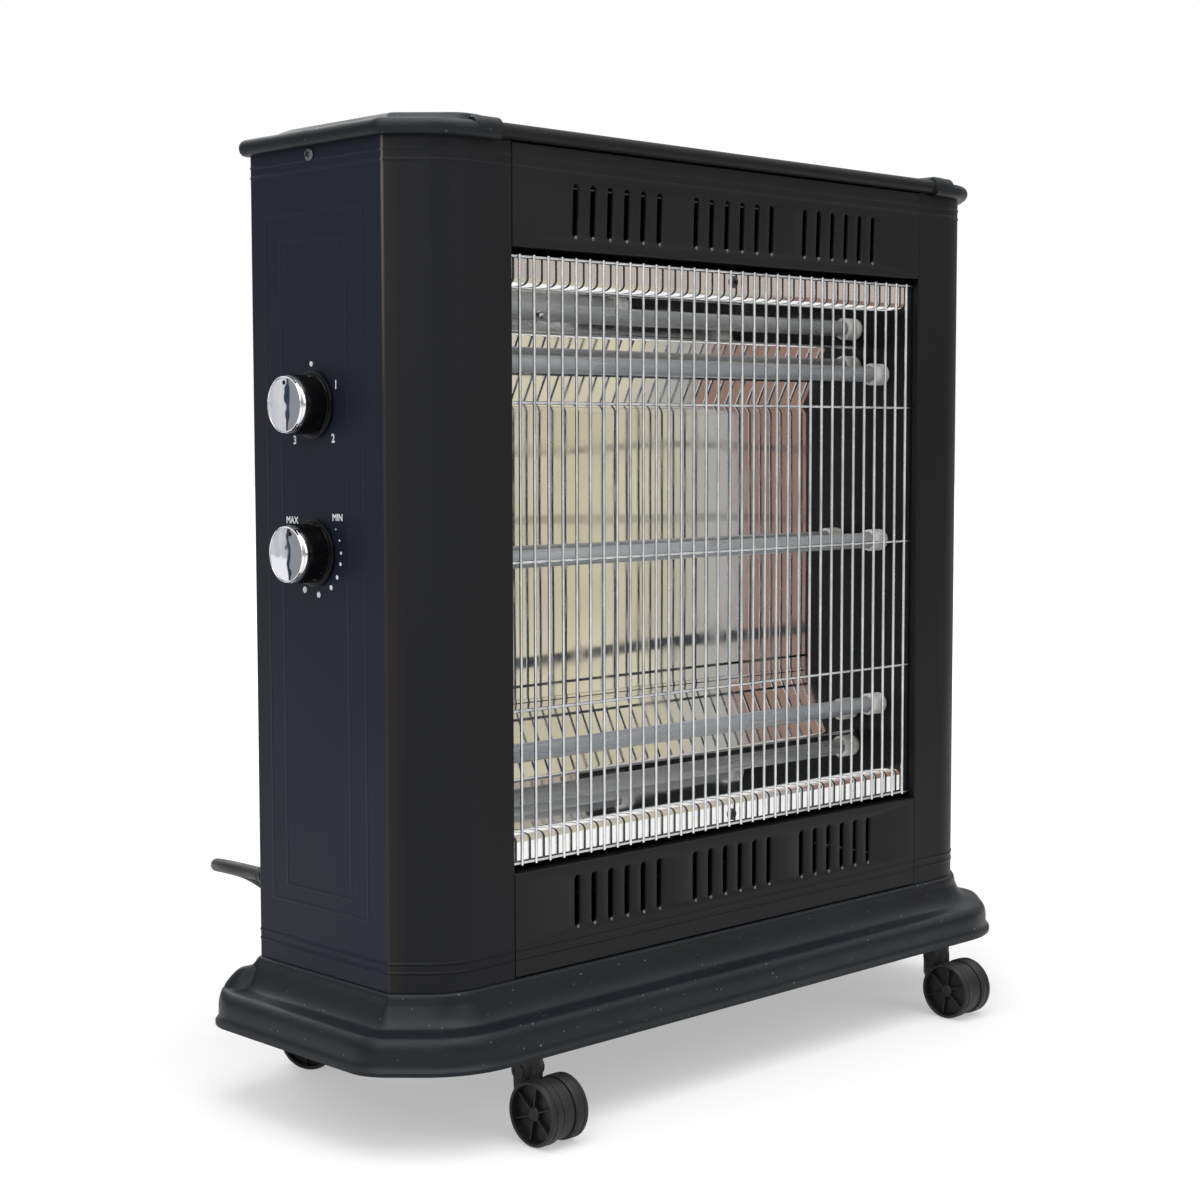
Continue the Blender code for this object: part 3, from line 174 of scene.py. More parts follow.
# Dials
DIAL_Y = 15.5 * MM
SWITCH_Z = 432.5 * MM
THERMOSTAT_Z = 344.5 * MM
KNOB_RADIUS = 20.1 * MM
KNOB_BODY = 17.7 * MM
KNOB_BACK = 0.8 * MM
KNOB_FRONT = 17.4 * MM
KNOB_BORE = 3.4 * MM
FACE_RADIUS = 17.4 * MM
POINTER_REACH = 12.8                # millimetres, like the distances of the marks
POINTER_SEAT = 3.8 * MM
PRINT_STEP = 0.07 * MM
OFF_DOT = (355, 24.3, 1.6)          # dots: angle, distance from the middle, radius
SWITCH_MARKS = (("1", 62.5, 24.4), ("2", 137.3, 27.3), ("3", 222.3, 28.5))
SWITCH_HEIGHT = 5.1 * MM
SWITCH_NARROW = 0.9
THERMOSTAT_MARKS = (("MIN", 45.5, 30.7), ("MAX", 309.5, 29.7))
THERMOSTAT_HEIGHT = 4.1 * MM
THERMOSTAT_NARROW = 0.98
THERMOSTAT_DOTS = (
    (54, 0.5), (71, 0.7), (88, 0.95), (103, 1.1), (123, 1.3), (143, 1.5), (173.5, 1.8), (206, 2.0),
    (232, 2.1), (258, 2.2), (284, 2.3),
)
THERMOSTAT_RING = 25

# Mains cord
CORD_X = -240 * MM
CORD_Z = 131.7 * MM
CORD_RADIUS = 4.4 * MM
BOOT_RIBS = 7
BOOT_PITCH = 4.4                    # millimetres, like the route below
FREE_ROUTE = (
    (-240, 117.3, 131.7), (-240, 136, 131.7), (-240, 154, 131.5), (-236, 170.5, 129.5),
    (-226.5, 183.5, 126), (-212, 191.5, 121), (-194.5, 195.5, 114), (-177, 195.5, 102),
    (-161.5, 192, 87), (-149, 186.5, 70), (-138, 180, 52), (-126, 173, 35), (-112, 166, 19.5),
    (-96, 160, 8.5), (-79.5, 153, 5),
)
COIL_CENTRE = (-30 * MM, 186 * MM)
COIL_OUTER = 53.3 * MM
COIL_PITCH = 9.4 * MM
COIL_LAYER = 9.5 * MM
COIL_START = math.radians(240)
COIL_TURNS = 4 + 1 / 6
COIL_STEPS = 24
COIL_REST = 4.7 * MM
PLUG_RADIUS = 18.2 * MM
PLUG_LENGTH = 46 * MM
PIN_SPREAD = 9.5 * MM
TIE_ANGLE = math.radians(75)
TIE_WIDTH = 7 * MM
TIE_INNER = COIL_OUTER - 2 * COIL_PITCH - 1.9 * MM
TIE_OUTER = COIL_OUTER + 0.4 * MM
TIE_LOW = 0.05 * MM
TIE_HIGH = 19.6 * MM

# Studio
LAMPS = (                           # place, aim, size in metres and power in watts
    ("top_lamp", (-0.3, -0.5, 2.6), (0, 0, 0.2), 2.6, 46),
    ("left_lamp", (-2.4, -1.0, 1.7), (0, 0, 0.3), 1.8, 16),
    ("front_lamp", (0.8, -2.8, 1.5), (0, 0, 0.3), 1.8, 14),
    ("rear_lamp", (0.6, 2.6, 1.9), (0, 0, 0.3), 1.8, 14),
)
BOARDS = ((0.1, -0.85, 0.0), (2.0, -0.85, 0.0), (2.0, -0.85, 0.9), (0.1, -0.85, 0.9))
DRAPES = ((-0.6, 0.30, 0.15), (-0.6, 0.60, 0.15), (-0.6, 0.60, 0.60), (-0.6, 0.30, 0.60))
BOARD_JOINTS = ((0.397, 0.003, 0.6), (0.312, 0.004, 0.4), (0.160, 0.007, 1.0))  # height, half, depth
FLOOR_HALF = 14
FLOOR_DROP = -0.0002


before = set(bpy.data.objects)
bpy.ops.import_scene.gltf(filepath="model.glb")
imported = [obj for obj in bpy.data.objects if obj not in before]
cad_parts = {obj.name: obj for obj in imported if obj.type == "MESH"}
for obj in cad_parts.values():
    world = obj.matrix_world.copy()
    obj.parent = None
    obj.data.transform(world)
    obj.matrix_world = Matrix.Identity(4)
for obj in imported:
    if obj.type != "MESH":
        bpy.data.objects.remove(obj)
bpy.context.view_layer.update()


# Camera

def camera():
    """The photograph's viewpoint."""
    yaw, pitch, roll = (math.radians(turn) for turn in EYE_TURNS)
    ahead = Vector((-math.sin(yaw) * math.cos(pitch), math.cos(yaw) * math.cos(pitch), math.sin(pitch)))
    right = Vector((math.cos(yaw), math.sin(yaw), 0))
    up = right.cross(ahead)
    across = right * math.cos(roll) + up * math.sin(roll)
    rise = up * math.cos(roll) - right * math.sin(roll)
    eye = bpy.data.objects.new("photo_camera", bpy.data.cameras.new("photo_camera"))
    eye.data.sensor_width = SENSOR
    eye.data.sensor_fit = "HORIZONTAL"
    eye.data.lens = FOCAL_PIXELS / PHOTO_WIDTH * SENSOR
    eye.data.clip_start = 0.05
    eye.data.clip_end = 60
    place = Matrix((across, rise, -ahead)).transposed().to_4x4()
    place.translation = Vector(EYE) * MM
    eye.matrix_world = place
    bpy.context.scene.collection.objects.link(eye)
    bpy.context.scene.camera = eye


# Ways of making materials

def base(name, colour, roughness, metallic=0.0, specular=0.5):
    """A Principled material, its tree and shader, and the place on the heater that patterns read."""
    made = bpy.data.materials.new(name)
    made.use_nodes = True
    tree = made.node_tree
    shader = tree.nodes["Principled BSDF"]
    shader.inputs["Base Color"].default_value = (*colour, 1)
    shader.inputs["Roughness"].default_value = roughness
    shader.inputs["Metallic"].default_value = metallic
    shader.inputs["Specular IOR Level"].default_value = specular
    return made, tree, shader, tree.nodes.new("ShaderNodeTexCoord").outputs["Object"]


def grain(tree, place, scale, detail=3.0, stretch=(1, 1, 1)):
    """Noise of about scale spots to the metre."""
    turn = tree.nodes.new("ShaderNodeMapping")
    turn.inputs["Scale"].default_value = stretch
    tree.links.new(place, turn.inputs["Vector"])
    cloud = tree.nodes.new("ShaderNodeTexNoise")
    cloud.inputs["Scale"].default_value = scale
    cloud.inputs["Detail"].default_value = detail
    tree.links.new(turn.outputs["Vector"], cloud.inputs["Vector"])
    return cloud.outputs["Fac"]


def spread(tree, source, low, high, to_low=0.0, to_high=1.0, smooth=False):
    """A value brought from one range to another, held at its ends."""
    step = tree.nodes.new("ShaderNodeMapRange")
    step.interpolation_type = "SMOOTHSTEP" if smooth else "LINEAR"
    for slot, value in (("From Min", low), ("From Max", high), ("To Min", to_low), ("To Max", to_high)):
        step.inputs[slot].default_value = value
    tree.links.new(source, step.inputs["Value"])
    return step.outputs["Result"]


def blended(tree, share, first, second):
    """Two colours mixed by a share. Each is a colour or a node's output."""
    mix = tree.nodes.new("ShaderNodeMix")
    mix.data_type = "RGBA"
    tree.links.new(share, mix.inputs["Factor"])
    for slot, value in (("A", first), ("B", second)):
        socket = next(s for s in mix.inputs if s.name == slot and s.type == "RGBA")
        if isinstance(value, tuple):
            socket.default_value = (*value, 1)
        else:
            tree.links.new(value, socket)
    return next(s for s in mix.outputs if s.type == "RGBA")


def overlaid(tree, shader, share, colour):
    """A colour laid over what the shader shows, by a share."""
    under = shader.inputs["Base Color"].links[0].from_socket
    tree.links.new(blended(tree, share, under, colour), shader.inputs["Base Color"])


def worked(tree, operation, first, second=None):
    """One math step on outputs or numbers."""
    step = tree.nodes.new("ShaderNodeMath")
    step.operation = operation
    for socket, value in zip(step.inputs, (first, second)):
        if value is None:
            continue
        if isinstance(value, (int, float)):
            socket.default_value = value
        else:
            tree.links.new(value, socket)
    return step.outputs["Value"]


def distance_from(tree, source, middle):
    """How far a value lies from a middle one."""
    return worked(tree, "ABSOLUTE", worked(tree, "SUBTRACT", source, middle))


def relief(tree, shader, height, strength, distance):
    """A bump laid over whatever bump the shader has."""
    bump = tree.nodes.new("ShaderNodeBump")
    bump.inputs["Strength"].default_value = strength
    bump.inputs["Distance"].default_value = distance
    tree.links.new(height, bump.inputs["Height"])
    if shader.inputs["Normal"].is_linked:
        tree.links.new(shader.inputs["Normal"].links[0].from_socket, bump.inputs["Normal"])
    tree.links.new(bump.outputs["Normal"], shader.inputs["Normal"])


def coordinates(tree, place):
    """The X, Y and Z of a place."""
    split = tree.nodes.new("ShaderNodeSeparateXYZ")
    tree.links.new(place, split.inputs["Vector"])
    return split.outputs["X"], split.outputs["Y"], split.outputs["Z"]


def finish(name, tones, spots=None, band=None, roughness=0.5, metallic=0.0, specular=0.5,
           dull=None, bump=None):
    """A finish whose colour drifts between two tones by a noise of spots, held in a band. The noise and
    range of dull vary its roughness, and the noise, strength and depth of bump its surface."""
    made, tree, shader, place = base(name, tones[0], roughness, metallic, specular)
    if spots:
        drift = grain(tree, place, *spots)
        tone = blended(tree, spread(tree, drift, *band) if band else drift, *tones)
        tree.links.new(tone, shader.inputs["Base Color"])
    if dull:
        tree.links.new(spread(tree, grain(tree, place, *dull[0]), *dull[1:]), shader.inputs["Roughness"])
    if bump:
        relief(tree, shader, grain(tree, place, *bump[0]), *bump[1:])
    return made, tree, shader, place


# Materials

def frame_line(tree, y, z, low, high, width):
    """A pressed line along the edge of a rectangle on the heater's side."""
    middle = [(a + b) / 2 for a, b in zip(low, high)]
    half = [(b - a) / 2 for a, b in zip(low, high)]
    along_y = worked(tree, "SUBTRACT", distance_from(tree, y, middle[0]), half[0])
    along_z = worked(tree, "SUBTRACT", distance_from(tree, z, middle[1]), half[1])
    edge = worked(tree, "ABSOLUTE", worked(tree, "MAXIMUM", along_y, along_z))
    return spread(tree, edge, 0, width, 1, 0, smooth=True)


def coat(name, colour):
    """Satin powder coat that is a little lighter and duller in clouds."""
    lighter = tuple(c * 1.25 + 0.0015 for c in colour)
    return finish(name, (colour, lighter), (7,), (0.35, 0.68), roughness=0.44, specular=0.18,
                  dull=((7,), 0.3, 0.7, 0.4, 0.5))


def orange_peel(tree, shader, place):
    relief(tree, shader, grain(tree, place, 1400, 2), 0.22, 0.0001)


def powder_coat():
    """The charcoal coat of the fascias, roof and back."""
    made, tree, shader, place = coat("charcoal_powder_coat", (0.0080, 0.0082, 0.0092))
    orange_peel(tree, shader, place)
    return made


def side_coat():
    """The side panels' coat with two pressed frames, painted blue light on the side, and dust, a painted
    sheen and a painted highlight along the fold.
    """
    made, tree, shader, place = coat("charcoal_side_coat", (0.0050, 0.0056, 0.0075))
    _, y, z = coordinates(tree, place)
    # painted blue light: the side face, from y = -0.05 back, is tinted bluer
    overlaid(tree, shader, spread(tree, y, -0.0525, -0.0495), (0.0100, 0.0130, 0.0240))
    warm = (0.036, 0.026, 0.021)
    # warm streaks fading from the fold onto the chamfer: dust with a painted sheen
    streaks = spread(tree, grain(tree, place, 55, 2, (1, 1, 0.15)), 0.3, 0.7, 0.45, 1)
    fade = worked(tree, "MULTIPLY", spread(tree, y, -0.0515, -0.060, 0.35, 0, smooth=True), streaks)
    overlaid(tree, shader, worked(tree, "MULTIPLY", fade, spread(tree, y, -0.0495, -0.0505)), warm)
    # painted highlight: a thin bright line along the fold itself, paler higher up
    fold_highlight = blended(tree, spread(tree, z, 0.43, 0.56), warm, (0.16, 0.135, 0.125))
    overlaid(tree, shader, spread(tree, distance_from(tree, y, -0.0507), 0.0003, 0.0011, 1, 0), fold_highlight)
    outer = frame_line(tree, y, z, (-0.032, 0.130), (0.062, 0.545), 0.0013)
    inner = frame_line(tree, y, z, (-0.016, 0.140), (0.0475, 0.529), 0.0013)
    relief(tree, shader, worked(tree, "ADD", outer, inner), 0.5, 0.00035)
    orange_peel(tree, shader, place)
    return made


def painted_glint_coat():
    """Bright coat that paints a glint on the small nubs under the slots, and a brighter head on the side's
    screw that stands for its highlights.
    """
    return finish("painted_glint_coat", ((0.07, 0.08, 0.09), (0.20, 0.22, 0.24)), (400, 3),
                  roughness=0.3, metallic=0.5)[0]


def moulding():
    """Moulded charcoal plastic of the plinth and the roof's caps, with specks of dust."""
    made, tree, shader, place = finish(
        "charcoal_moulding", ((0.0058, 0.0080, 0.0108), (0.0085, 0.0115, 0.0150)), (9,), (0.35, 0.65),
        specular=0.24, dull=((30,), 0.3, 0.7, 0.34, 0.46), bump=((900, 3), 0.3, 0.00012))
    overlaid(tree, shader, spread(tree, grain(tree, place, 620, 0), 0.845, 0.87), (0.25, 0.26, 0.28))
    relief(tree, shader, grain(tree, place, 18, 1), 0.25, 0.0008)
    return made


def caster_plastic():
    """Dull black nylon, scuffed grey in places."""
    return finish("black_nylon", ((0.009, 0.0095, 0.0105), (0.03, 0.031, 0.033)), (160, 6),
                  (0.55, 0.75, 0, 0.5), specular=0.4, dull=((90,), 0.3, 0.7, 0.42, 0.6),
                  bump=((1100, 4), 0.35, 0.00012))[0]


def knob_gloss():
    """Glossy black plastic with faint handling marks."""
    return finish("gloss_black", ((0.0035, 0.0035, 0.004),), specular=0.12,
                  dull=((120, 5), 0.4, 0.75, 0.10, 0.28), bump=((300, 2), 0.05, 0.0002))[0]


def knob_mirror():
    """Bright plated disc on a knob, with soft ripples."""
    return finish("plated_disc", ((0.86, 0.87, 0.89),), metallic=1.0,
                  dull=((70, 4), 0.4, 0.7, 0.015, 0.04), bump=((110, 1), 0.12, 0.0003))[0]


def guard_chrome():
    """Bright plated wire, duller in patches, with painted shade towards its rims and on its back, which faces
    the reflector.
    """
    made, tree, shader, _ = finish(
        "plated_wire", ((0.86, 0.88, 0.91), (0.62, 0.65, 0.68)), (45, 4), (0.35, 0.7),
        metallic=1.0, dull=((200, 3), 0.3, 0.7, 0.14, 0.3))
    # painted shade: the wire darkens towards its rims and where its normal turns back to the reflector
    facing = tree.nodes.new("ShaderNodeLayerWeight")
    facing.inputs["Blend"].default_value = 0.5
    rim = spread(tree, facing.outputs["Facing"], 0.35, 0.62, smooth=True)
    _, backward, _ = coordinates(tree, tree.nodes.new("ShaderNodeNewGeometry").outputs["Normal"])
    back_shade = spread(tree, backward, 0.25, 0.6, smooth=True)
    overlaid(tree, shader, worked(tree, "MAXIMUM", rim, back_shade), (0.10, 0.115, 0.13))
    return made


def reflector_mirror():
    """Polished sheet that has buckled a little, so that its image wavers."""
    return finish("polished_sheet", ((0.88, 0.87, 0.85),), metallic=1.0,
                  dull=((40, 5), 0.45, 0.75, 0.03, 0.12), bump=((5, 0.5, (1, 1, 1.6)), 0.6, 0.0016))[0]


def frosted_quartz():
    """Milky grey quartz, streaked along, that lets its spiral show faintly."""
    streaks = (70, 4, (0.12, 1, 1))
    made, _, shader, _ = finish(
        "frosted_quartz", ((0.36, 0.385, 0.41), (0.55, 0.57, 0.585)), streaks, (0.35, 0.7),
        dull=(streaks, 0.3, 0.7, 0.2, 0.38))
    shader.inputs["Transmission Weight"].default_value = 0.22
    shader.inputs["IOR"].default_value = 1.46
    return made


def ceramic():
    """White glazed ceramic, slightly soiled."""
    return finish("white_ceramic", ((0.82, 0.82, 0.81), (0.66, 0.655, 0.63)), (110, 4), (0.4, 0.75),
                  dull=((220, 3), 0.3, 0.7, 0.25, 0.5), bump=((700, 3), 0.25, 0.0001))[0]


def heating_alloy():
    """Dull brownish wire of the heating spirals."""
    return finish("heating_alloy", ((0.34, 0.31, 0.28), (0.16, 0.15, 0.15)), (240, 4),
                  roughness=0.4, metallic=1.0)[0]


def zinc_steel():
    """Zinc-plated steel of screws, axles and shafts."""
    return finish("zinc_steel", ((0.6, 0.61, 0.62), (0.3, 0.31, 0.32)), (400, 5), (0.35, 0.7),
                  metallic=1.0, dull=((260, 3), 0.3, 0.7, 0.22, 0.45))[0]


def dark_screw():
    """Blackened steel of the screws on the reflector and the back."""
    return finish("blackened_steel", ((0.10, 0.105, 0.115), (0.03, 0.031, 0.034)), (500, 4), (0.35, 0.7),
                  roughness=0.3, metallic=0.9)[0]


def shade_and_pointer_black():
    """Near-black painted shade for the crosses of screw heads, also the dark of the dials' pointers."""
    return finish("shade_and_pointer_black", ((0.003, 0.003, 0.003), (0.007, 0.007, 0.007)), (300, 2),
                  roughness=0.7, specular=0.1)[0]


def inner_coat():
    """Dark coat of the window's inner walls."""
    return finish("inner_wall_coat", ((0.004, 0.0045, 0.006), (0.007, 0.008, 0.0105)), (14, 3),
                  roughness=0.4, specular=0.2, bump=((1200, 2), 0.2, 0.0001))[0]


def housing_plastic():
    """Dark plastic of the parts inside and of the coil's tie."""
    return finish("housing_plastic", ((0.024, 0.024, 0.026), (0.042, 0.042, 0.044)), (60, 4),
                  bump=((900, 3), 0.25, 0.0001))[0]


def lead_sleeve():
    """Woven glass sleeving on the inner leads."""
    return finish("glass_sleeving", ((0.018, 0.015, 0.013), (0.009, 0.008, 0.0075)), (900, 3),
                  roughness=0.7, bump=((1500, 2), 0.5, 0.0002))[0]


def cord_sheath():
    """Black cord sheath, faintly ribbed and dusty."""
    return finish("cord_sheath", ((0.0105, 0.011, 0.012), (0.022, 0.023, 0.024)), (60, 4), (0.4, 0.75),
                  dull=((140, 3), 0.3, 0.7, 0.34, 0.52), bump=((700, 2), 0.15, 0.0002))[0]


def print_white():
    """White screen print, thin in places."""
    return finish("white_print", ((0.92, 0.93, 0.94), (0.74, 0.75, 0.77)), (900, 3), (0.35, 0.75))[0]


COAT = powder_coat()
SIDE_COAT = side_coat()
NUB = painted_glint_coat()
MOULDING = moulding()
NYLON = caster_plastic()
GLOSS = knob_gloss()
DISC = knob_mirror()
CHROME = guard_chrome()
MIRROR = reflector_mirror()
QUARTZ = frosted_quartz()
CERAMIC = ceramic()
ALLOY = heating_alloy()
ZINC = zinc_steel()
DARK_STEEL = dark_screw()
RECESS = shade_and_pointer_black()
INNER = inner_coat()
HOUSING = housing_plastic()
SLEEVE = lead_sleeve()
SHEATH = cord_sheath()
PRINT = print_white()


# Ways of making pieces

def mm(*points):
    """Points in millimetres as points in metres."""
    return [tuple(c * MM for c in point) for point in points]


def stepped(radius, height, *steps):
    """Profile points at small steps, in millimetres, from a radius and a height."""
    return [(radius + out * MM, height + up * MM) for out, up in steps]


def finished(bm, name, surface, body="heater", stands_for=(), smooth=35):
    """The finished piece on its body, shaded smooth up to an angle."""
    bmesh.ops.remove_doubles(bm, verts=bm.verts, dist=0.004 * MM)
    mesh = bpy.data.meshes.new(name)
    bm.edges.index_update()
    bm.to_mesh(mesh)
    mesh.shade_smooth()
    mesh.set_sharp_from_angle(angle=math.radians(smooth))
    for edge in bm.edges:
        if edge.is_boundary:
            mesh.edges[edge.index].use_edge_sharp = True
    bm.free()
    return shown(name, mesh, surface, body, stands_for)


def shown(name, data, surface, body="heater", stands_for=()):
    """A mesh or curve as a piece that rides on a body and stands for solids."""
    data.materials.append(surface)
    made = bpy.data.objects.new(name, data)
    bpy.context.scene.collection.objects.link(made)
    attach(made, body)
    if stands_for:
        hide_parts(*stands_for)
    return made


def walled(made, thickness):
    """A sheet given its thickness inwards."""
    wall = made.modifiers.new("wall", "SOLIDIFY")
    wall.thickness = thickness
    wall.offset = -1
    wall.use_even_offset = True
    return made


def chained(bm, points, closed=False):
    """Corners joined by edges in a row, and back to the first if closed."""
    verts = [bm.verts.new(point) for point in points]
    return [bm.edges.new(pair) for pair in zip(verts, verts[1:] + (verts[:1] if closed else []))]


def pulled(bm, edges, move):
    """Edges extruded once, with each new corner where move sends it. The new edges."""
    grown = bmesh.ops.extrude_edge_only(bm, edges=edges)["geom"]
    fresh = {g for g in grown if isinstance(g, bmesh.types.BMVert)}
    for vert in fresh:
        vert.co = move(vert.co.copy())
    return [g for g in grown if isinstance(g, bmesh.types.BMEdge) and all(v in fresh for v in g.verts)]


def spot(point):
    """A corner's place as a key, rounded to a thousandth of a millimetre."""
    return tuple(round(c, 6) for c in Vector(point))


def skinned(rings, closed=True):
    """Rings of equally many corners skinned in order by extruding from one to the next."""
    bm = bmesh.new()
    edges = chained(bm, rings[0], closed)
    for ring, after in zip(rings, rings[1:]):
        where = {spot(point): Vector(new) for point, new in zip(ring, after)}
        edges = pulled(bm, edges, lambda co: where[spot(co)])
    return bm


def capped(bm):
    """Open rims closed by faces, and every face turned outwards."""
    bmesh.ops.holes_fill(bm, edges=[e for e in bm.edges if e.is_boundary], sides=0)
    bmesh.ops.recalc_face_normals(bm, faces=bm.faces)


def faced(bm, near, outward):
    """An open sheet's faces turned so that the one nearest to a place looks outward."""
    bm.normal_update()
    first = min(bm.faces, key=lambda f: (f.calc_center_median() - Vector(near)).length)
    if first.normal.dot(Vector(outward)) < 0:
        bmesh.ops.reverse_faces(bm, faces=bm.faces)


def rounded(corners):
    """A path through corners (x, y, radius, segments), each rounded by an arc."""
    path = []
    for i, (x, y, radius, segments) in enumerate(corners):
        here = Vector((x, y))
        if radius <= 0 or i in (0, len(corners) - 1):
            path.append((x, y))
            continue
        before = (Vector(corners[i - 1][:2]) - here).normalized()
        after = (Vector(corners[i + 1][:2]) - here).normalized()
        half = before.angle(after) / 2
        centre = here + (before + after).normalized() * radius / math.sin(half)
        first = here + before * radius / math.tan(half) - centre
        last = here + after * radius / math.tan(half) - centre
        sweep = first.angle_signed(last)
        support = radius * 0.08     # a corner just before and after the arc keeps its shading short
        path.append(tuple(centre + first + before * support))
        for step in range(segments + 1):
            turn = -sweep * step / segments
            path.append((
                centre.x + first.x * math.cos(turn) - first.y * math.sin(turn),
                centre.y + first.x * math.sin(turn) + first.y * math.cos(turn),
            ))
        path.append(tuple(centre + last + after * support))
    return path


def corner_run(offset, inner, rear=None, lead=0, blend=CHAMFER_BLEND, rear_steps=6):
    """The right half of the casing's plan grown by offset, from the front round to the back."""
    back = BACK + offset if rear is None else rear
    bevel = offset * (math.sqrt(2) - 1)
    front = FRONT - offset - lead
    side = HALF_WIDTH + offset
    grow = max(offset, 0)
    return rounded([
        (inner, front, 0, 0),
        (HALF_WIDTH - CHAMFER + bevel - lead, front, blend + grow, 10),
        (side, FRONT + CHAMFER - bevel, CREASE_RADIUS + grow, 6),
        (side, back, REAR_RADIUS + grow, rear_steps),
        (inner, back, 0, 0),
    ])


def along(direction, place=(0, 0, 0)):
    """The turn that sets +Z along a direction, and a place."""
    made = Vector(direction).to_track_quat("Z", "Y").to_matrix().to_4x4()
    made.translation = Vector(place)
    return made


def turned(bm, profile, place, steps=48, closed=False):
    """A profile of (radius, height) spun about its axis and set in place."""
    fresh = bmesh.new()
    edges = chained(fresh, [(r, 0, h) for r, h in profile], closed)
    bmesh.ops.spin(
        fresh, geom=list(fresh.verts) + edges, cent=(0, 0, 0), axis=(0, 0, 1),
        angle=math.tau, steps=steps, use_merge=True,
    )
    bmesh.ops.remove_doubles(fresh, verts=fresh.verts, dist=0.002 * MM)
    bmesh.ops.recalc_face_normals(fresh, faces=fresh.faces)
    added(bm, fresh, place)


def added(bm, fresh, place=Matrix()):
    """A small mesh put in place and made part of a larger one."""
    bmesh.ops.transform(fresh, matrix=place, verts=fresh.verts)
    mesh = bpy.data.meshes.new("part")
    fresh.to_mesh(mesh)
    fresh.free()
    bm.from_mesh(mesh)
    bpy.data.meshes.remove(mesh)


def bar(bm, start, end, radius, sides=12):
    """A round bar between two points."""
    start, end = Vector(start), Vector(end)
    bmesh.ops.create_cone(
        bm, cap_ends=True, segments=sides, radius1=radius, radius2=radius,
        depth=(end - start).length, matrix=along(end - start, (start + end) / 2),
    )


def brick(bm, low, high, edge=0.0, segments=2, place=Matrix()):
    """A box between two corners with its edges rounded."""
    fresh = bmesh.new()
    low, high = Vector(low), Vector(high)
    bmesh.ops.create_cube(fresh, size=1)
    bmesh.ops.scale(fresh, vec=high - low, verts=fresh.verts)
    bmesh.ops.translate(fresh, vec=(low + high) / 2, verts=fresh.verts)
    if edge:
        bmesh.ops.bevel(
            fresh, geom=list(fresh.edges), offset=edge, segments=segments, profile=0.5,
            affect="EDGES", material=-1,
        )
    added(bm, fresh, place)


def tube_curve(name, points, radius, surface, stands_for=(), steps=4):
    """A round cord along points, closed at its ends."""
    curve = bpy.data.curves.new(name, "CURVE")
    curve.dimensions = "3D"
    curve.bevel_depth = radius
    curve.bevel_resolution = steps
    curve.use_fill_caps = True
    line = curve.splines.new("POLY")
    line.points.add(len(points) - 1)
    for knot, point in zip(line.points, points):
        knot.co = (*point, 1)
    return shown(name, curve, surface, stands_for=stands_for)


def eased(points, steps):
    """Points joined by a smooth curve that passes through each."""
    made = []
    count = len(points)
    for i in range(count - 1):
        a, b, c, d = (Vector(points[min(max(i + k, 0), count - 1)]) for k in (-1, 0, 1, 2))
        for step in range(steps):
            t = step / steps
            made.append(0.5 * ((2 * b) + (c - a) * t + (2 * a - 5 * b + 4 * c - d) * t**2
                               + (3 * b - a - 3 * c + d) * t**3))
    return made + [Vector(points[-1])]


def pan_head(bm, radius, place, height=1.6 * MM):
    """A domed screw head on its short shank."""
    shank, depth = radius * 0.4, -5 * MM
    turned(bm, [
        (0, height), (radius * 0.35, height * 0.98), (radius * 0.68, height * 0.86),
        (radius * 0.9, height * 0.55), (radius, height * 0.18), (radius, 0), (shank, 0), (shank, depth),
        (0, depth),
    ], place, steps=28)


def cross_recess(bm, radius, place, height=1.6 * MM):
    """A near-black cross in a screw head, painted shade standing for its recess."""
    reach, half = radius * 0.6, radius * 0.13
    for turn in (0.5, 0.5 + math.pi / 2):
        brick(bm, (-reach, -half, height * 0.55), (reach, half, height * 1.02), 0.1 * MM, 1,
              place @ Matrix.Rotation(turn, 4, "Z"))


def screw(name, radius, place, surface, stands_for=()):
    """A screw with its cross."""
    head, cross = bmesh.new(), bmesh.new()
    pan_head(head, radius, place)
    finished(head, name + "_head", surface, stands_for=stands_for)
    cross_recess(cross, radius, place)
    finished(cross, name + "_recess", RECESS)


# Casing

def ridge_stations(low, high, ridges):
    """Heights from low to high with the outward step of each pressed ridge."""
    stations = [(low, 0)]
    for z in sorted(ridges):
        for share in (-1.25, -1, -0.6, -0.25, 0.25, 0.6, 1, 1.25):
            rise = RIDGE * (1 + math.cos(math.pi * share)) / 2 if abs(share) < 1 else 0
            stations.append((z + share * RIDGE_HALF, rise))
    return stations + [(high, 0)]


def panel_run(offset):
    """The side panel's section: window return, column, chamfer, side and back return."""
    bevel = offset * (math.sqrt(2) - 1)
    return rounded([
        (SEAM, FRONT + PANEL_RETURN, 0, 0),
        (SEAM, FRONT - offset, 1.0 * MM, 4),
        (HALF_WIDTH - CHAMFER + bevel, FRONT - offset, CHAMFER_BLEND, 14),
        (HALF_WIDTH + offset, FRONT + CHAMFER - bevel, CREASE_RADIUS, 6),
        (HALF_WIDTH + offset, BACK, REAR_RADIUS, 6),
        (HALF_WIDTH - BACK_RETURN, BACK, 0, 0),
    ])


def side_panel(name, side):
    """One folded sheet from the window round to the back, with pairs of pressed ridges."""
    rings = []
    for z, step in ridge_stations(CASING_BOTTOM, CASING_TOP, TOP_RIDGES + BOTTOM_RIDGES):
        rings.append([(side * x, y, z) for x, y in panel_run(step)])
    bm = skinned(rings, closed=False)
    faced(bm, (side * HALF_WIDTH, 0, 0.3), (side, 0, 0))
    walled(finished(bm, name + "_sheet", SIDE_COAT, stands_for=[name], smooth=40), SHEET)


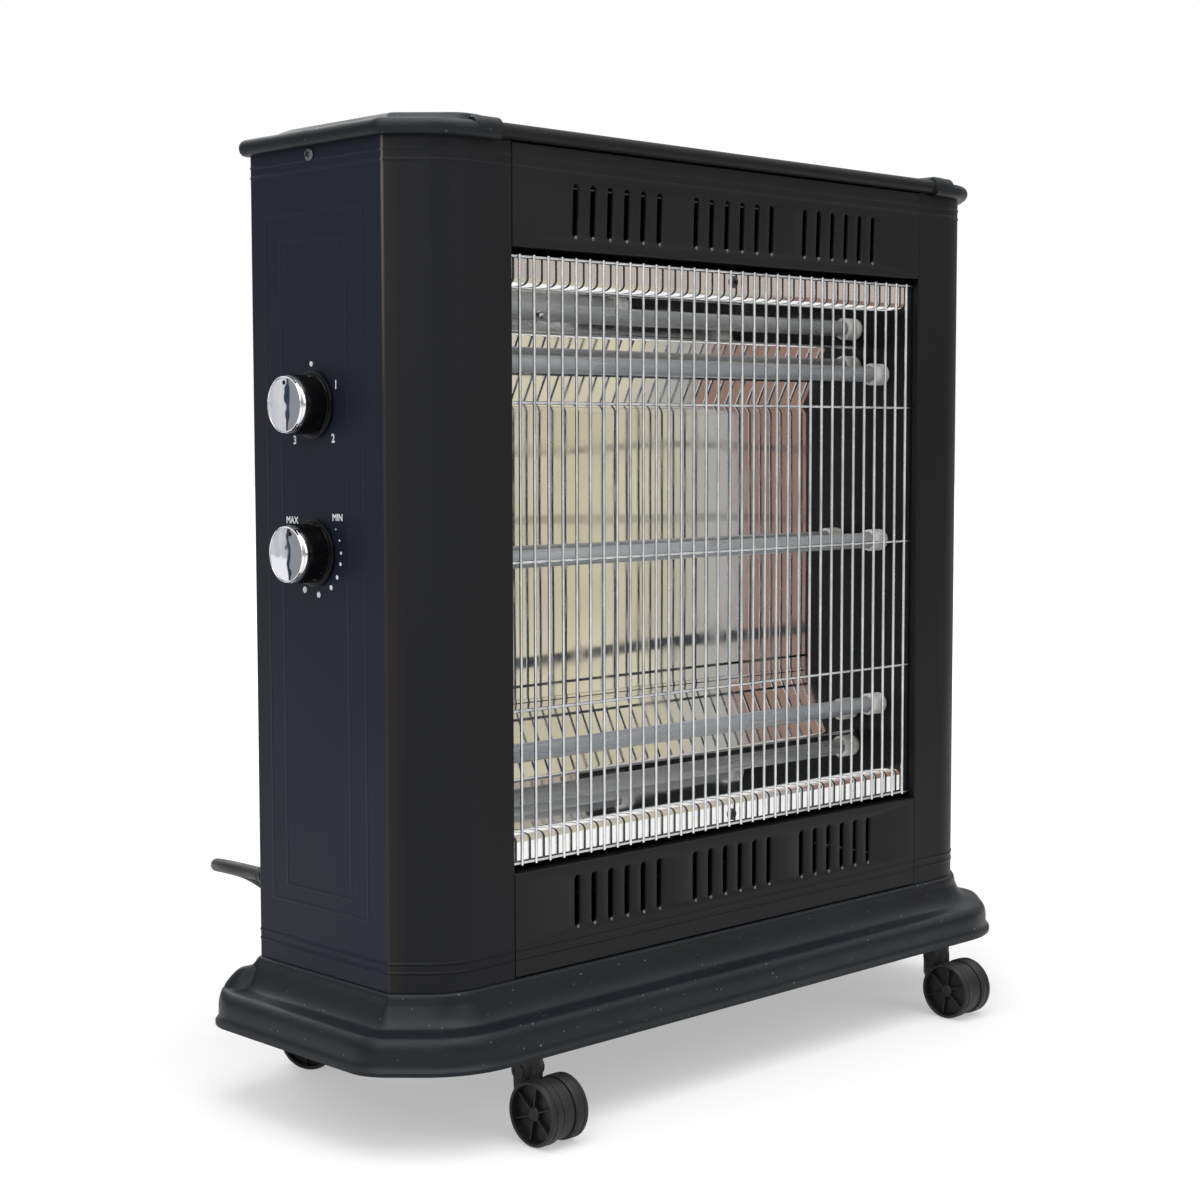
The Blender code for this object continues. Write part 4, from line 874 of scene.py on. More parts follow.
def dish(bm, edges, x, z, y_way, lean):
    """A slot's edge pressed back into a small dish and then straight through."""
    straight = SLOT_LENGTH / 2 - SLOT_WIDTH / 2

    def inwards(inset, back):
        def move(co):
            height = min(max(co.z, z - straight), z + straight)
            middle = Vector((x + lean * (height - z), co.y, height))
            out = (co - middle).normalized()
            return co - out * inset + Vector((0, back * y_way, 0))
        return move

    for inset, back in mm(*SLOT_DISH):
        edges = pulled(bm, edges, inwards(inset, back))


def slotted_plate(bm, low, high, y, places, length, width, y_way, dished=True, lean=0.0):
    """A flat plate in the X-Z plane with slots, dished or plain, leaning to the right by lean."""
    outline = [(low[0], y, low[1]), (high[0], y, low[1]), (high[0], y, high[1]), (low[0], y, high[1])]
    every = chained(bm, outline, True)
    radius = width / 2 + (SLOT_RIM if dished else 0)
    straight = length / 2 - width / 2
    tip = lean * straight
    turns = [math.pi * step / 8 for step in range(9)]
    slots = []
    for x, z in places:
        points = [(x + tip + radius * math.cos(t), y, z + straight + radius * math.sin(t)) for t in turns]
        points += [(x - tip - radius * math.cos(t), y, z - straight - radius * math.sin(t)) for t in turns]
        slots.append((x, z, chained(bm, points, True)))
        every = every + slots[-1][2]
    bmesh.ops.triangle_fill(bm, use_beauty=True, use_dissolve=False, edges=every, normal=(0, -y_way, 0))
    if dished:
        for x, z, edges in slots:
            dish(bm, edges, x, z, y_way, lean)


def folded_edge(bm, edge, border, ridges):
    """A fascia's strip from its slots to a folded edge, with the ridges that lie in it."""
    low, high = min(edge, border), max(edge, border)
    upward = ridge_stations(low, high, [z for z in ridges if low < z < high])
    if edge < border:
        upward.reverse()
    flat = [(FRONT - step, z) for z, step in upward]
    fold = [(*flat[-2], 0, 0), (FRONT, edge, 0.9 * MM, 4), (FRONT + FASCIA_RETURN, edge, 0, 0)]
    flat[-1:] = rounded(fold)[1:]
    fresh = bmesh.new()
    line = chained(fresh, [(-PLATE_OUTER, y, z) for y, z in flat])
    pulled(fresh, line, lambda co: Vector((PLATE_OUTER, co.y, co.z)))
    added(bm, fresh)


def slot_nubs(name, places, lean):
    """A small bright nub below each slot, a painted glint on the slot's lower lip."""
    bm = bmesh.new()
    tip = SLOT_LENGTH / 2 + 0.6 * MM
    for x, z in places:
        fresh = bmesh.new()
        bmesh.ops.create_uvsphere(fresh, u_segments=12, v_segments=8, radius=1)
        bmesh.ops.scale(fresh, vec=NUB_SIZE, verts=fresh.verts)
        added(bm, fresh, Matrix.Translation((x - lean * tip, FRONT + 0.1 * MM, z - tip)))
    finished(bm, name, NUB)


def fascia(name, low, high, slot_z, ridges, band, lean=0.0):
    """A fascia with three groups of slots, pressed ridges and folded long edges."""
    places = [
        ((group - 1) * GROUP_PITCH + (i - 2.5) * SLOT_PITCH, slot_z) for group in range(3) for i in range(6)
    ]
    bm = bmesh.new()
    slotted_plate(bm, (-PLATE_OUTER, band[0]), (PLATE_OUTER, band[1]), FRONT, places,
                  SLOT_LENGTH, SLOT_WIDTH, 1, lean=lean)
    slot_nubs(name + "_nubs", places, lean)
    folded_edge(bm, low, band[0], ridges)
    folded_edge(bm, high, band[1], ridges)
    bmesh.ops.remove_doubles(bm, verts=bm.verts, dist=0.01 * MM)
    bmesh.ops.recalc_face_normals(bm, faces=bm.faces)
    faced(bm, (0, FRONT, band[0] + 1 * MM), (0, -1, 0))
    walled(finished(bm, name + "_sheet", COAT, stands_for=[name]), SHEET)


def casing():
    """The side panels, the fascias and the screw under the left cap."""
    side_panel("left_side_panel", -1)
    side_panel("right_side_panel", 1)
    fascia("top_fascia", WINDOW_HIGH, CASING_TOP - GAP, TOP_SLOTS_Z, TOP_RIDGES, TOP_BAND, TOP_LEAN)
    fascia("bottom_fascia", CASING_BOTTOM + GAP, WINDOW_LOW, BOTTOM_SLOTS_Z, BOTTOM_RIDGES, BOTTOM_BAND)
    # the side screw's head is painted brighter for its highlights
    screw("side_screw", SIDE_SCREW, along((-1, 0, 0), SIDE_SCREW_PLACE), NUB, ["side_screw"])


def back_hoods(places):
    """A half hood over each slot of the back, open to the left."""
    bm = bmesh.new()
    for x, z in places:
        fresh = bmesh.new()
        bmesh.ops.create_uvsphere(fresh, u_segments=20, v_segments=12, radius=1)
        bmesh.ops.scale(fresh, vec=HOOD, verts=fresh.verts)
        bmesh.ops.translate(fresh, vec=(x, BACK_Y, z), verts=fresh.verts)
        cuts = ((x, BACK_Y + 0.05 * MM, z), (0, -1, 0)), ((x - 2.4 * MM, BACK_Y, z), (-1, 0, 0))
        for place, way in cuts:
            geometry = list(fresh.verts) + list(fresh.edges) + list(fresh.faces)
            bmesh.ops.bisect_plane(fresh, geom=geometry, plane_co=place, plane_no=way, clear_outer=True)
        added(bm, fresh)
    walled(finished(bm, "back_louvres", COAT, smooth=50), 0.6 * MM)


def back_panel():
    """The vented back, with a row of screws along each upright edge."""
    places = [((i - 3) * BACK_SLOT_PITCH, z) for z in BACK_SLOT_LEVELS for i in range(7)]
    low, high = PLINTH_TOP + 0.05 * MM, CASING_TOP + 0.2 * MM
    bm = bmesh.new()
    slotted_plate(bm, (-BACK_EDGE, low), (BACK_EDGE, high), BACK_Y, places,
                  BACK_SLOT_LENGTH, BACK_SLOT_WIDTH, -1, dished=False)
    faced(bm, (0, BACK_Y, 0.3), (0, 1, 0))
    walled(finished(bm, "back_panel_sheet", COAT, stands_for=["back_panel"]), SHEET)
    back_hoods(places)
    heads, crosses = bmesh.new(), bmesh.new()
    for x in (-BACK_SCREW_X, BACK_SCREW_X):
        for z in BACK_SCREW_LEVELS:
            seat = along((0, 1, 0), (x, BACK_Y + 0.1 * MM, z))
            pan_head(heads, BACK_SCREW, seat)
            cross_recess(crosses, BACK_SCREW, seat)
    finished(heads, "back_screws", DARK_STEEL)
    finished(crosses, "back_screw_recesses", RECESS)


# Roof

def roof_sheet():
    """A crowned sheet with a rolled bead along the front and the back."""
    front, back, lift = -BEAD_Y, BEAD_Y, BEAD_RADIUS * 0.45
    tuck = math.asin((lift + ROOF_SHEET / 2) / BEAD_RADIUS)
    low_tuck = math.asin((lift - ROOF_SHEET / 2) / BEAD_RADIUS)
    around = 2 * math.pi - tuck + low_tuck

    def bead(middle, start):
        return [(middle + BEAD_RADIUS * math.cos(start + around * i / 30),
                 BEAD_Z + BEAD_RADIUS * math.sin(start + around * i / 30)) for i in range(31)]

    def crowned(share, side):
        return (front + (back - front) * share,
                BEAD_Z + lift + side * ROOF_SHEET / 2 + ROOF_CROWN * math.sin(math.pi * share))

    shares = [0.06 + 0.88 * step / 16 for step in range(17)]
    outline = bead(front, tuck) + [crowned(s, -1) for s in shares]
    outline += bead(back, math.pi - low_tuck) + [crowned(s, 1) for s in reversed(shares)]
    bm = bmesh.new()
    face = bm.faces.new([bm.verts.new((-ROOF_HALF, y, z)) for y, z in outline])
    grown = bmesh.ops.extrude_face_region(bm, geom=[face])["geom"]
    risen = [g for g in grown if isinstance(g, bmesh.types.BMVert)]
    bmesh.ops.translate(bm, verts=risen, vec=(ROOF_HALF * 2, 0, 0))
    bmesh.ops.recalc_face_normals(bm, faces=bm.faces)
    finished(bm, "roof_rolled_sheet", COAT, stands_for=["roof_sheet"])


def roof_cap(name, side):
    """A moulded roof end: half-round rim, raised pad, and collars round the beads."""
    inner = ROOF_HALF + GAP * 3
    pad_rear = BACK - 30 * MM
    runs = [(corner_run(CAP_OVERHANG * share, inner), CAP_RIM * rise) for share, rise in CAP_ROUND]
    for inset, rise, end, rear, lead, blend in CAP_PAD:
        run = corner_run(-inset * MM, inner + end * MM, pad_rear + rear * MM, lead * MM, blend * MM)
        runs.append((run, CAP_DOME * rise))
    bm = skinned([[(side * x, y, CASING_TOP + rise) for x, y in run] for run, rise in runs])
    capped(bm)
    for y in (-BEAD_Y, BEAD_Y):
        turned(bm, [
            (0, 0), (COLLAR_RADIUS * 0.9, 0), (COLLAR_RADIUS, 0.7 * MM),
            (COLLAR_RADIUS, COLLAR_LENGTH - 2 * MM), (COLLAR_RADIUS * 0.8, COLLAR_LENGTH), (0, COLLAR_LENGTH),
        ], along((side, 0, 0), (side * (ROOF_HALF + GAP), y, BEAD_Z + 0.6 * MM)), steps=32)
    finished(bm, name + "_moulding", MOULDING, stands_for=[name], smooth=50)


# Plinth

def swollen(run, swell):
    """A plinth run with its rear corner bulged outwards."""
    cx, cy = HALF_WIDTH - REAR_RADIUS, BACK - REAR_RADIUS
    shaped = []
    for x, y in run:
        if x > cx and y > cy:
            turn = math.atan2(y - cy, x - cx)
            reach = math.hypot(x - cx, y - cy) + swell * math.sin(2 * turn) ** 2
            x, y = cx + reach * math.cos(turn), cy + reach * math.sin(turn)
        shaped.append((x, y))
    return shaped


def plinth():
    """The moulded skirt: deck, cove, shoulder, drop and outward lip."""
    height = PLINTH_TOP - PLINTH_LOW
    rings = []
    for share, rise, swell in [DECK_INSET, *eased(PLINTH_SECTION, 4), PLINTH_FOOT]:
        right = swollen(corner_run(LIP_OVERHANG * share, 0, rear_steps=14)[1:-1], swell * MM)
        left = [(-x, y) for x, y in reversed(right)]
        rings.append([(x, y, PLINTH_LOW + height * rise) for x, y in right + left])
    bm = skinned(rings)
    deck = [e for e in bm.edges if e.is_boundary and e.verts[0].co.z > (PLINTH_LOW + PLINTH_TOP) / 2]
    bmesh.ops.holes_fill(bm, edges=deck, sides=0)
    bmesh.ops.recalc_face_normals(bm, faces=bm.faces)
    faced(bm, (0, 0, PLINTH_TOP), (0, 0, 1))
    walled(finished(bm, "plinth_moulding", MOULDING, stands_for=["plinth"], smooth=45), PLINTH_WALL)


# Window

def wire_guard():
    """Round upright wires welded in front of the cross wires."""
    bm = bmesh.new()
    low, high = CROSS_LEVELS[0] - WIRE / 2, CROSS_LEVELS[-1] + WIRE / 2
    span = (UPRIGHT_WIRES - 1) * WIRE_PITCH
    for i in range(UPRIGHT_WIRES):
        x = i * WIRE_PITCH - span / 2
        bar(bm, (x, GUARD_Y, low), (x, GUARD_Y, high), WIRE / 2)
    behind = GUARD_Y + CROSS_BEHIND
    for z in CROSS_LEVELS:
        bar(bm, (-CROSS_REACH, behind, z), (CROSS_REACH, behind, z), WIRE / 2)
    finished(bm, "guard_wires", CHROME, stands_for=["wire_guard"])


def reflector():
    """The polished trough, folded with soft bends: flange, steep facet, shallow facet, flat."""
    path = rounded(
        [(y, REFLECTOR_HIGH - rise, radius, steps) for y, rise, radius, steps in REFLECTOR_FOLDS]
        + [(y, REFLECTOR_LOW + rise, radius, steps) for y, rise, radius, steps in reversed(REFLECTOR_FOLDS)]
    )
    bm = bmesh.new()
    line = chained(bm, [(-CROSS_REACH, y, z) for y, z in path])
    pulled(bm, line, lambda co: Vector((CROSS_REACH, co.y, co.z)))
    faced(bm, (0, REFLECTOR_BACK, WINDOW_MIDDLE), (0, -1, 0))
    walled(finished(bm, "reflector_trough", MIRROR, stands_for=["reflector"]), REFLECTOR_SHEET)
    upper, lower = REFLECTOR_HIGH - FLANGE_SCREW_INSET, REFLECTOR_LOW + FLANGE_SCREW_INSET
    for place, z in (("upper", upper), ("lower", lower)):
        name = "reflector_screw_" + place
        seat = along((0, -1, 0), (FLANGE_SCREW_X, REFLECTOR_FRONT - GAP, z))
        screw(name, FLANGE_SCREW, seat, DARK_STEEL, [name])
    screw("reflector_corner_screw", CORNER_SCREW, along((0, -3, -4), CORNER_SCREW_PLACE), ZINC)


def spiral(level, z):
    """A heating spiral, with a straight pin at each end."""
    run, end = TUBE_HALF - SPIRAL_PIN, TUBE_HALF - 0.4 * MM
    count = SPIRAL_TURNS * SPIRAL_STEPS
    coil = [(-end, TUBE_Y, z)]
    for i in range(count + 1):
        t = i / count
        angle = t * SPIRAL_TURNS * math.tau
        across, up = SPIRAL_RADIUS * math.sin(angle), SPIRAL_RADIUS * math.cos(angle)
        coil.append((-run + 2 * run * t, TUBE_Y + across, z + up))
    coil.append((end, TUBE_Y, z))
    tube_curve(f"spiral_{level}", coil, SPIRAL_WIRE, ALLOY, ["heating_spiral_" + level], steps=1)


def tubes():
    """Quartz tubes, the spirals in them and the ceramic ends."""
    reach = END_SEAT - END_MOUTH
    for level, z in TUBE_LEVELS.items():
        bm = bmesh.new()
        turned(bm, [
            *mm((4.3, 0), (5, 0), (5.5, 0.5)), *stepped(0, TUBE_HALF * 2, (5.5, -0.5), (5, 0), (4.3, 0)),
        ], along((1, 0, 0), (-TUBE_HALF, TUBE_Y, z)), steps=32, closed=True)
        finished(bm, f"quartz_{level}", QUARTZ, stands_for=["quartz_tube_" + level], smooth=50)
        spiral(level, z)
        for place, side in (("left", -1), ("right", 1)):
            bm = bmesh.new()
            turned(bm, [
                *mm((5.8, 0), (6.2, 0), (7.2, 0.5), (7.75, 1.8), (7.75, 8), (7.3, 8.5), (7.3, 9.6)),
                (7.75 * MM, 10.1 * MM),
                *stepped(0, reach, (7.75, -0.4), (7.4, 0), (4.9, 0), (4.9, 7), (1.9, 7)),
                *mm((1.9, 9), (5.8, 9)),
            ], along((side, 0, 0), (side * END_MOUTH, TUBE_Y, z)), steps=36, closed=True)
            finished(bm, f"ceramic_end_{place}_{level}", CERAMIC,
                     stands_for=[f"tube_end_{place}_{level}"], smooth=50)


# Dials

def dial(name, z, pointer):
    """A gloss skirt with a plated disc in a bezel, and its small dark pointer."""
    axis = along((-1, 0, 0), (-HALF_WIDTH, DIAL_Y, z))
    body = name + "_dial"
    bm = bmesh.new()
    turned(bm, [
        (0, KNOB_FRONT),
        *stepped(KNOB_BODY, KNOB_FRONT, (-0.9, 0), (-0.3, -0.25), (-0.05, -0.9)),
        *stepped(KNOB_BODY, 0, (0, 3.4), (0.3, 2.9)),
        *stepped(KNOB_RADIUS, 0, (-0.6, 2.55), (-0.1, 2.1), (0, 1.5)),
        *stepped(KNOB_RADIUS, KNOB_BACK, (-0.5, 0)),
        (KNOB_BORE, KNOB_BACK), (KNOB_BORE, 12.8 * MM), (0, 12.8 * MM),
    ], axis, steps=72)
    finished(bm, name + "_skirt", GLOSS, body, [name + "_knob"], smooth=30)
    foot = KNOB_FRONT + GAP
    bm = bmesh.new()
    turned(bm, [
        (0, foot + 3.9 * MM), (FACE_RADIUS * 0.5, foot + 3.87 * MM),
        *stepped(FACE_RADIUS, foot, (-1.9, 3.75), (-1.8, 3.4), (-1.55, 3.4), (-1.45, 4.1), (-1.1, 4.2),
                 (-0.85, 4.0), (-0.45, 2.9), (-0.75, 2.8), (-0.75, 2.5), (-0.4, 2.4), (0, 1.2), (0, 0)),
        (0, foot),
    ], axis, steps=72)
    finished(bm, name + "_disc", DISC, body, [name + "_knob_face"], smooth=30)
    y, up = round_dial(z, pointer, POINTER_REACH)
    bm = bmesh.new()
    turned(bm, mm((0, 0.25), (0.9, 0.22), (1.3, 0.1), (1.4, -0.2), (0, -0.2)),
           along((-1, 0, 0), (-HALF_WIDTH - foot - POINTER_SEAT, y, up)), steps=20)
    finished(bm, name + "_pointer", RECESS, body)


def round_dial(z, angle, radius):
    """The Y and Z at an angle and a radius in millimetres from a dial's middle."""
    turn = math.radians(angle)
    return DIAL_Y - radius * MM * math.sin(turn), z + radius * MM * math.cos(turn)


def lettered(bm, words, height, y, z, narrow):
    """Plain printed characters on the left side."""
    line = bpy.data.curves.new("line", "FONT")
    line.body = words
    line.size = height * 1.38
    line.align_x = "CENTER"
    line.align_y = "CENTER"
    line.bevel_depth = height * 0.04
    line.bevel_resolution = 0
    line.resolution_u = 3
    holder = bpy.data.objects.new("line", line)
    bpy.context.scene.collection.objects.link(holder)
    bpy.context.view_layer.update()
    mesh = bpy.data.meshes.new_from_object(holder.evaluated_get(bpy.context.evaluated_depsgraph_get()))
    bpy.data.objects.remove(holder, do_unlink=True)
    bpy.data.curves.remove(line)
    mesh.materials.clear()
    mesh.transform(Matrix((
        (0, 0, -0.3, -HALF_WIDTH - 0.03 * MM), (-narrow, 0, 0, y), (0, 1, 0, z), (0, 0, 0, 1),
    )))
    bm.from_mesh(mesh)
    bpy.data.meshes.remove(mesh)


def dial_marks():
    """Printed dots, numbers and words round the two dials."""
    bm = bmesh.new()

    def dot(z, angle, radius, size):
        y, up = round_dial(z, angle, radius)
        bmesh.ops.create_circle(bm, cap_ends=True, segments=18, radius=size * MM,
                                matrix=along((-1, 0, 0), (-HALF_WIDTH - PRINT_STEP, y, up)))

    dot(SWITCH_Z, *OFF_DOT)
    for words, angle, radius in SWITCH_MARKS:
        lettered(bm, words, SWITCH_HEIGHT, *round_dial(SWITCH_Z, angle, radius), SWITCH_NARROW)
    for words, angle, radius in THERMOSTAT_MARKS:
        lettered(bm, words, THERMOSTAT_HEIGHT, *round_dial(THERMOSTAT_Z, angle, radius), THERMOSTAT_NARROW)
    for angle, size in THERMOSTAT_DOTS:
        dot(THERMOSTAT_Z, angle, THERMOSTAT_RING, size)
    finished(bm, "dial_marks", PRINT)


# Casters

def caster_hood(corner, swivel):
    """A caster's stem, boss, web and hood, with a small ring on each cheek."""
    bm = bmesh.new()
    turned(bm, mm((0, 0), (17.6, 0), (18.2, 0.5), (18.2, 8.3), (17.6, 8.8), (0, 8.8)),
           swivel @ along((1, 0, 0), (-4.4 * MM, TRAIL, WHEEL_RADIUS)), steps=48)
    turned(bm, mm((0, 61.2), (3.2, 61.2), (4, 60.4), (4, 48.8), (8.2, 48.8), (9, 48), (9, 40), (8.4, 25.5),
                  (7, 24), (0, 24)), swivel, steps=36)
    brick(bm, *mm((-4.4, -8.6, 26), (4.4, 9, 43)), 1.2 * MM, 2, swivel)
    for way in (-1, 1):
        turned(bm, mm((3, 0), (5.2, 0), (5.2, 0.9), (4.6, 1.2), (3.4, 1.2), (3, 0.9)),
               swivel @ along((way, 0, 0), (way * 7.8 * MM, 0, 40.5 * MM)), steps=24, closed=True)
    finished(bm, "hood_" + corner, NYLON, "caster_" + corner, ["caster_frame_" + corner])


def wheel(name, hub):
    """A wheel with a spoked recess outside and a ribbed tread."""
    bm = bmesh.new()
    floor = WHEEL_OUTER - WHEEL_RECESS
    rim = WHEEL_RADIUS - WHEEL_RIM
    turned(bm, [
        *stepped(0, floor, (0, 3.6), (3.4, 3.6), (4.4, 2.8), (4.6, 0)),
        (rim, floor), *stepped(rim, WHEEL_OUTER, (0, -0.4), (0.4, 0)),
        *stepped(WHEEL_RADIUS, WHEEL_OUTER,
                 (-0.9, 0), (-0.1, -0.9), (0, -3), (-0.5, -3.3), (-0.5, -3.9), (0, -4.2)),
        *stepped(WHEEL_RADIUS, WHEEL_INNER, (-0.1, 1.2), (-1, 0)),
        (2.3 * MM, WHEEL_INNER), *stepped(0, floor, (2.3, -1.2), (0, -1.2)),
    ], hub, steps=56)
    for i in range(SPOKES):
        spoke = hub @ Matrix.Rotation(math.tau * (i + 0.35) / SPOKES, 4, "Z")
        brick(bm, (4 * MM, -0.45 * MM, floor - 0.2 * MM), (rim + 0.3 * MM, 0.45 * MM, floor + 3.4 * MM),
              0.15 * MM, 1, spoke)
    for i in range(TREADS):
        rib = hub @ Matrix.Rotation(math.tau * i / TREADS, 4, "Z")
        brick(bm, (WHEEL_RADIUS - 1 * MM, -0.35 * MM, WHEEL_INNER + 1.6 * MM),
              (WHEEL_RADIUS - 0.02 * MM, 0.35 * MM, WHEEL_OUTER - 4.6 * MM), place=rib)
    finished(bm, name + "_tyre", NYLON, name, ["caster_" + name])


def caster(corner, x, y, turn):
    """A twin-wheel caster: a hood on the swivelling stem, and a wheel on each side."""
    swivel = Matrix.Translation((x, y, 0)) @ Matrix.Rotation(turn, 4, "Z")
    caster_hood(corner, swivel)
    for label, side in (("a", -1), ("b", 1)):
        wheel(f"wheel_{corner}_{label}", swivel @ along((side, 0, 0), (0, TRAIL, WHEEL_RADIUS)))


# Mains cord

def heading(turns):
    """The coil's direction after some turns."""
    angle = COIL_START + turns * math.tau
    return Vector((-math.sin(angle), math.cos(angle), 0))


def coil_route():
    """The stored length: in by turns on the floor, up one layer, out again on top."""
    cx, cy = COIL_CENTRE
    middle = COIL_TURNS / 2
    count = round(COIL_TURNS * COIL_STEPS)
    points = []
    for step in range(count + 1):
        turns = COIL_TURNS * step / count
        radius = COIL_OUTER - COIL_PITCH * (middle - abs(turns - middle))
        rise = min(max((turns - middle + 0.25) / 0.5, 0), 1)
        z = COIL_REST + COIL_LAYER * (1 - math.cos(math.pi * rise)) / 2
        angle = COIL_START + turns * math.tau
        points.append(Vector((cx + radius * math.cos(angle), cy + radius * math.sin(angle), z)))
    last = heading(COIL_TURNS)
    lift = Vector((0, 0, PLUG_RADIUS + GAP - points[-1].z))
    ends = [points[-1] + last * CORD_RADIUS * reach + lift * share
            for reach, share in ((3, 0.3), (6, 1), (8.5, 1))]
    return [points[0] - heading(0) * CORD_RADIUS * 2] + points + ends, last


def strain_relief():
    """The ribbed boot round the cord where it leaves the back."""
    profile = mm((0, 0), (8.1, 0), (8.5, 0.6), (8.5, 4), (7.8, 4.8), (7.4, 6))
    for i in range(BOOT_RIBS):
        start = 7 + i * BOOT_PITCH
        thick = 7.3 - 0.3 * i
        profile += mm((thick, start), (thick - 0.1, start + 2.6))
        profile += mm((thick - 1.1, start + 3), (thick - 1.1, start + 4))
    profile += mm((5.1, 38.2), (4.9, 39.7), (0, 39.7))
    bm = bmesh.new()
    turned(bm, profile, along((0, 1, 0), (CORD_X, 77.0 * MM, CORD_Z)), steps=36)
    finished(bm, "strain_relief_boot", SHEATH, stands_for=["cord_strain_relief"], smooth=45)


def plug_and_pins(foot, out):
    """A round two-pin plug's body and its pins."""
    bm = bmesh.new()
    turned(bm, [
        (0, PLUG_LENGTH), *stepped(PLUG_RADIUS, PLUG_LENGTH, (-1.6, 0), (-0.5, -0.5), (0, -1.6)),
        (PLUG_RADIUS, PLUG_LENGTH * 0.66), (PLUG_RADIUS * 0.93, PLUG_LENGTH * 0.58),
        (PLUG_RADIUS * 0.74, PLUG_LENGTH * 0.46), (11.6 * MM, PLUG_LENGTH * 0.34),
        (10.0 * MM, PLUG_LENGTH * 0.18), *mm((9, 1), (8.4, 0), (0, 0)),
    ], along(out, foot), steps=48)
    body = finished(bm, "plug_body", SHEATH, stands_for=["mains_plug"], smooth=50)
    side = Vector((-out.y, out.x, 0))
    pins = bmesh.new()
    for way in (-1, 1):
        root = foot + side * way * PIN_SPREAD + out * (PLUG_LENGTH - 1 * MM)
        turned(pins, mm((0, 0), (2.4, 0), (2.4, 18.8), (1.7, 19.8), (0, 20)), along(out, root), steps=24)
    return body, finished(pins, "plug_pins", ZINC)


def coil_tie():
    """A thin flat band round all the turns on the coil's near side."""
    outward = Vector((math.cos(TIE_ANGLE), math.sin(TIE_ANGLE), 0))
    along_turns = Vector((-outward.y, outward.x, 0))
    corners = [(TIE_INNER, TIE_LOW), (TIE_OUTER, TIE_LOW), (TIE_OUTER, TIE_HIGH), (TIE_INNER, TIE_HIGH)]
    mid_r, mid_z = (TIE_INNER + TIE_OUTER) / 2, 9.8 * MM
    points = []
    for i, (radius, z) in enumerate(corners):
        before, after = corners[i - 1], corners[(i + 1) % 4]
        for r, up in (
            (before[0] + (radius - before[0]) * 0.86, before[1] + (z - before[1]) * 0.86),
            (mid_r + (radius - mid_r) * 0.985, mid_z + (z - mid_z) * 0.94),
            (after[0] + (radius - after[0]) * 0.86, after[1] + (z - after[1]) * 0.86),
        ):
            points.append(Vector((*COIL_CENTRE, up)) + outward * r - along_turns * TIE_WIDTH / 2)
    bm = bmesh.new()
    band = chained(bm, points, True)
    pulled(bm, band, lambda co: co + along_turns * TIE_WIDTH)
    bmesh.ops.recalc_face_normals(bm, faces=bm.faces)
    walled(finished(bm, "coil_tie", HOUSING, smooth=60), 0.2 * MM)


def mains_cord():
    """Strain relief, the lead with its stored coil, the plug and the tie. The lead leaves the
    strain relief straight, goes round behind the casing and comes down to the floor."""
    strain_relief()
    free = [Vector(point) * MM for point in FREE_ROUTE]
    coil, out = coil_route()
    lead = tube_curve("mains_lead", eased(free, 3) + coil, CORD_RADIUS, SHEATH, ["mains_cord", "cord_coil"])
    plug, pin_pair = plug_and_pins(coil[-1] + out * GAP, out)
    coil_tie()


# What carries over from the solids

def carried_over():
    """Procedural finishes for the solids that show as they are."""
    finishes = {
        "plinth_floor": NYLON, "tube_plate_left": INNER, "tube_plate_right": INNER,
        "rotary_switch": HOUSING, "rotary_switch_shaft": ZINC, "thermostat": HOUSING,
        "thermostat_shaft": ZINC, "terminal_block": CERAMIC, "feed_loom": SLEEVE, "return_loom": SLEEVE,
    }
    for corner, *_ in CASTERS:
        finishes["caster_axle_" + corner] = ZINC
    for node, surface in finishes.items():
        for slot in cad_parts[node].material_slots:
            slot.material = surface


# Studio

def card(name, corners, colour_nodes):
    """A stage card that only polished pieces see."""
    bm = bmesh.new()
    bm.faces.new([bm.verts.new(c) for c in corners])
    mesh = bpy.data.meshes.new(name)
    bm.to_mesh(mesh)
    bm.free()
    made = bpy.data.objects.new(name, mesh)
    surface = bpy.data.materials.new(name)
    surface.use_nodes = True
    tree = surface.node_tree
    tree.nodes.clear()
    glow = tree.nodes.new("ShaderNodeEmission")
    out = tree.nodes.new("ShaderNodeOutputMaterial")
    tree.links.new(glow.outputs["Emission"], out.inputs["Surface"])
    place = tree.nodes.new("ShaderNodeTexCoord").outputs["Object"]
    tree.links.new(colour_nodes(tree, place), glow.inputs["Color"])
    mesh.materials.append(surface)
    bpy.context.scene.collection.objects.link(made)
    made.visible_camera = False
    made.visible_diffuse = False
    made.visible_shadow = False
    made.visible_transmission = False


def boarded(tree, place):
    """Pale boards, greyer and browner to the right, with dark joints, and a pinkish wall above."""
    x, _, z = coordinates(tree, place)
    clouds = spread(tree, grain(tree, place, 5, 2), 0.4, 0.6)
    tone = blended(tree, clouds, (0.70, 0.66, 0.50), (0.58, 0.54, 0.40))
    tone = blended(tree, spread(tree, x, 0.80, 0.95, smooth=True), tone, (0.42, 0.42, 0.41))
    tone = blended(tree, spread(tree, x, 0.955, 0.99, smooth=True), tone, (0.30, 0.19, 0.155))
    for height, half, depth in BOARD_JOINTS:
        joint = spread(tree, distance_from(tree, z, height), half, half + 0.0015, depth, 0)
        tone = blended(tree, joint, tone, (0.045, 0.05, 0.06))
    return blended(tree, spread(tree, z, 0.53, 0.56, smooth=True), tone, (0.55, 0.48, 0.43))


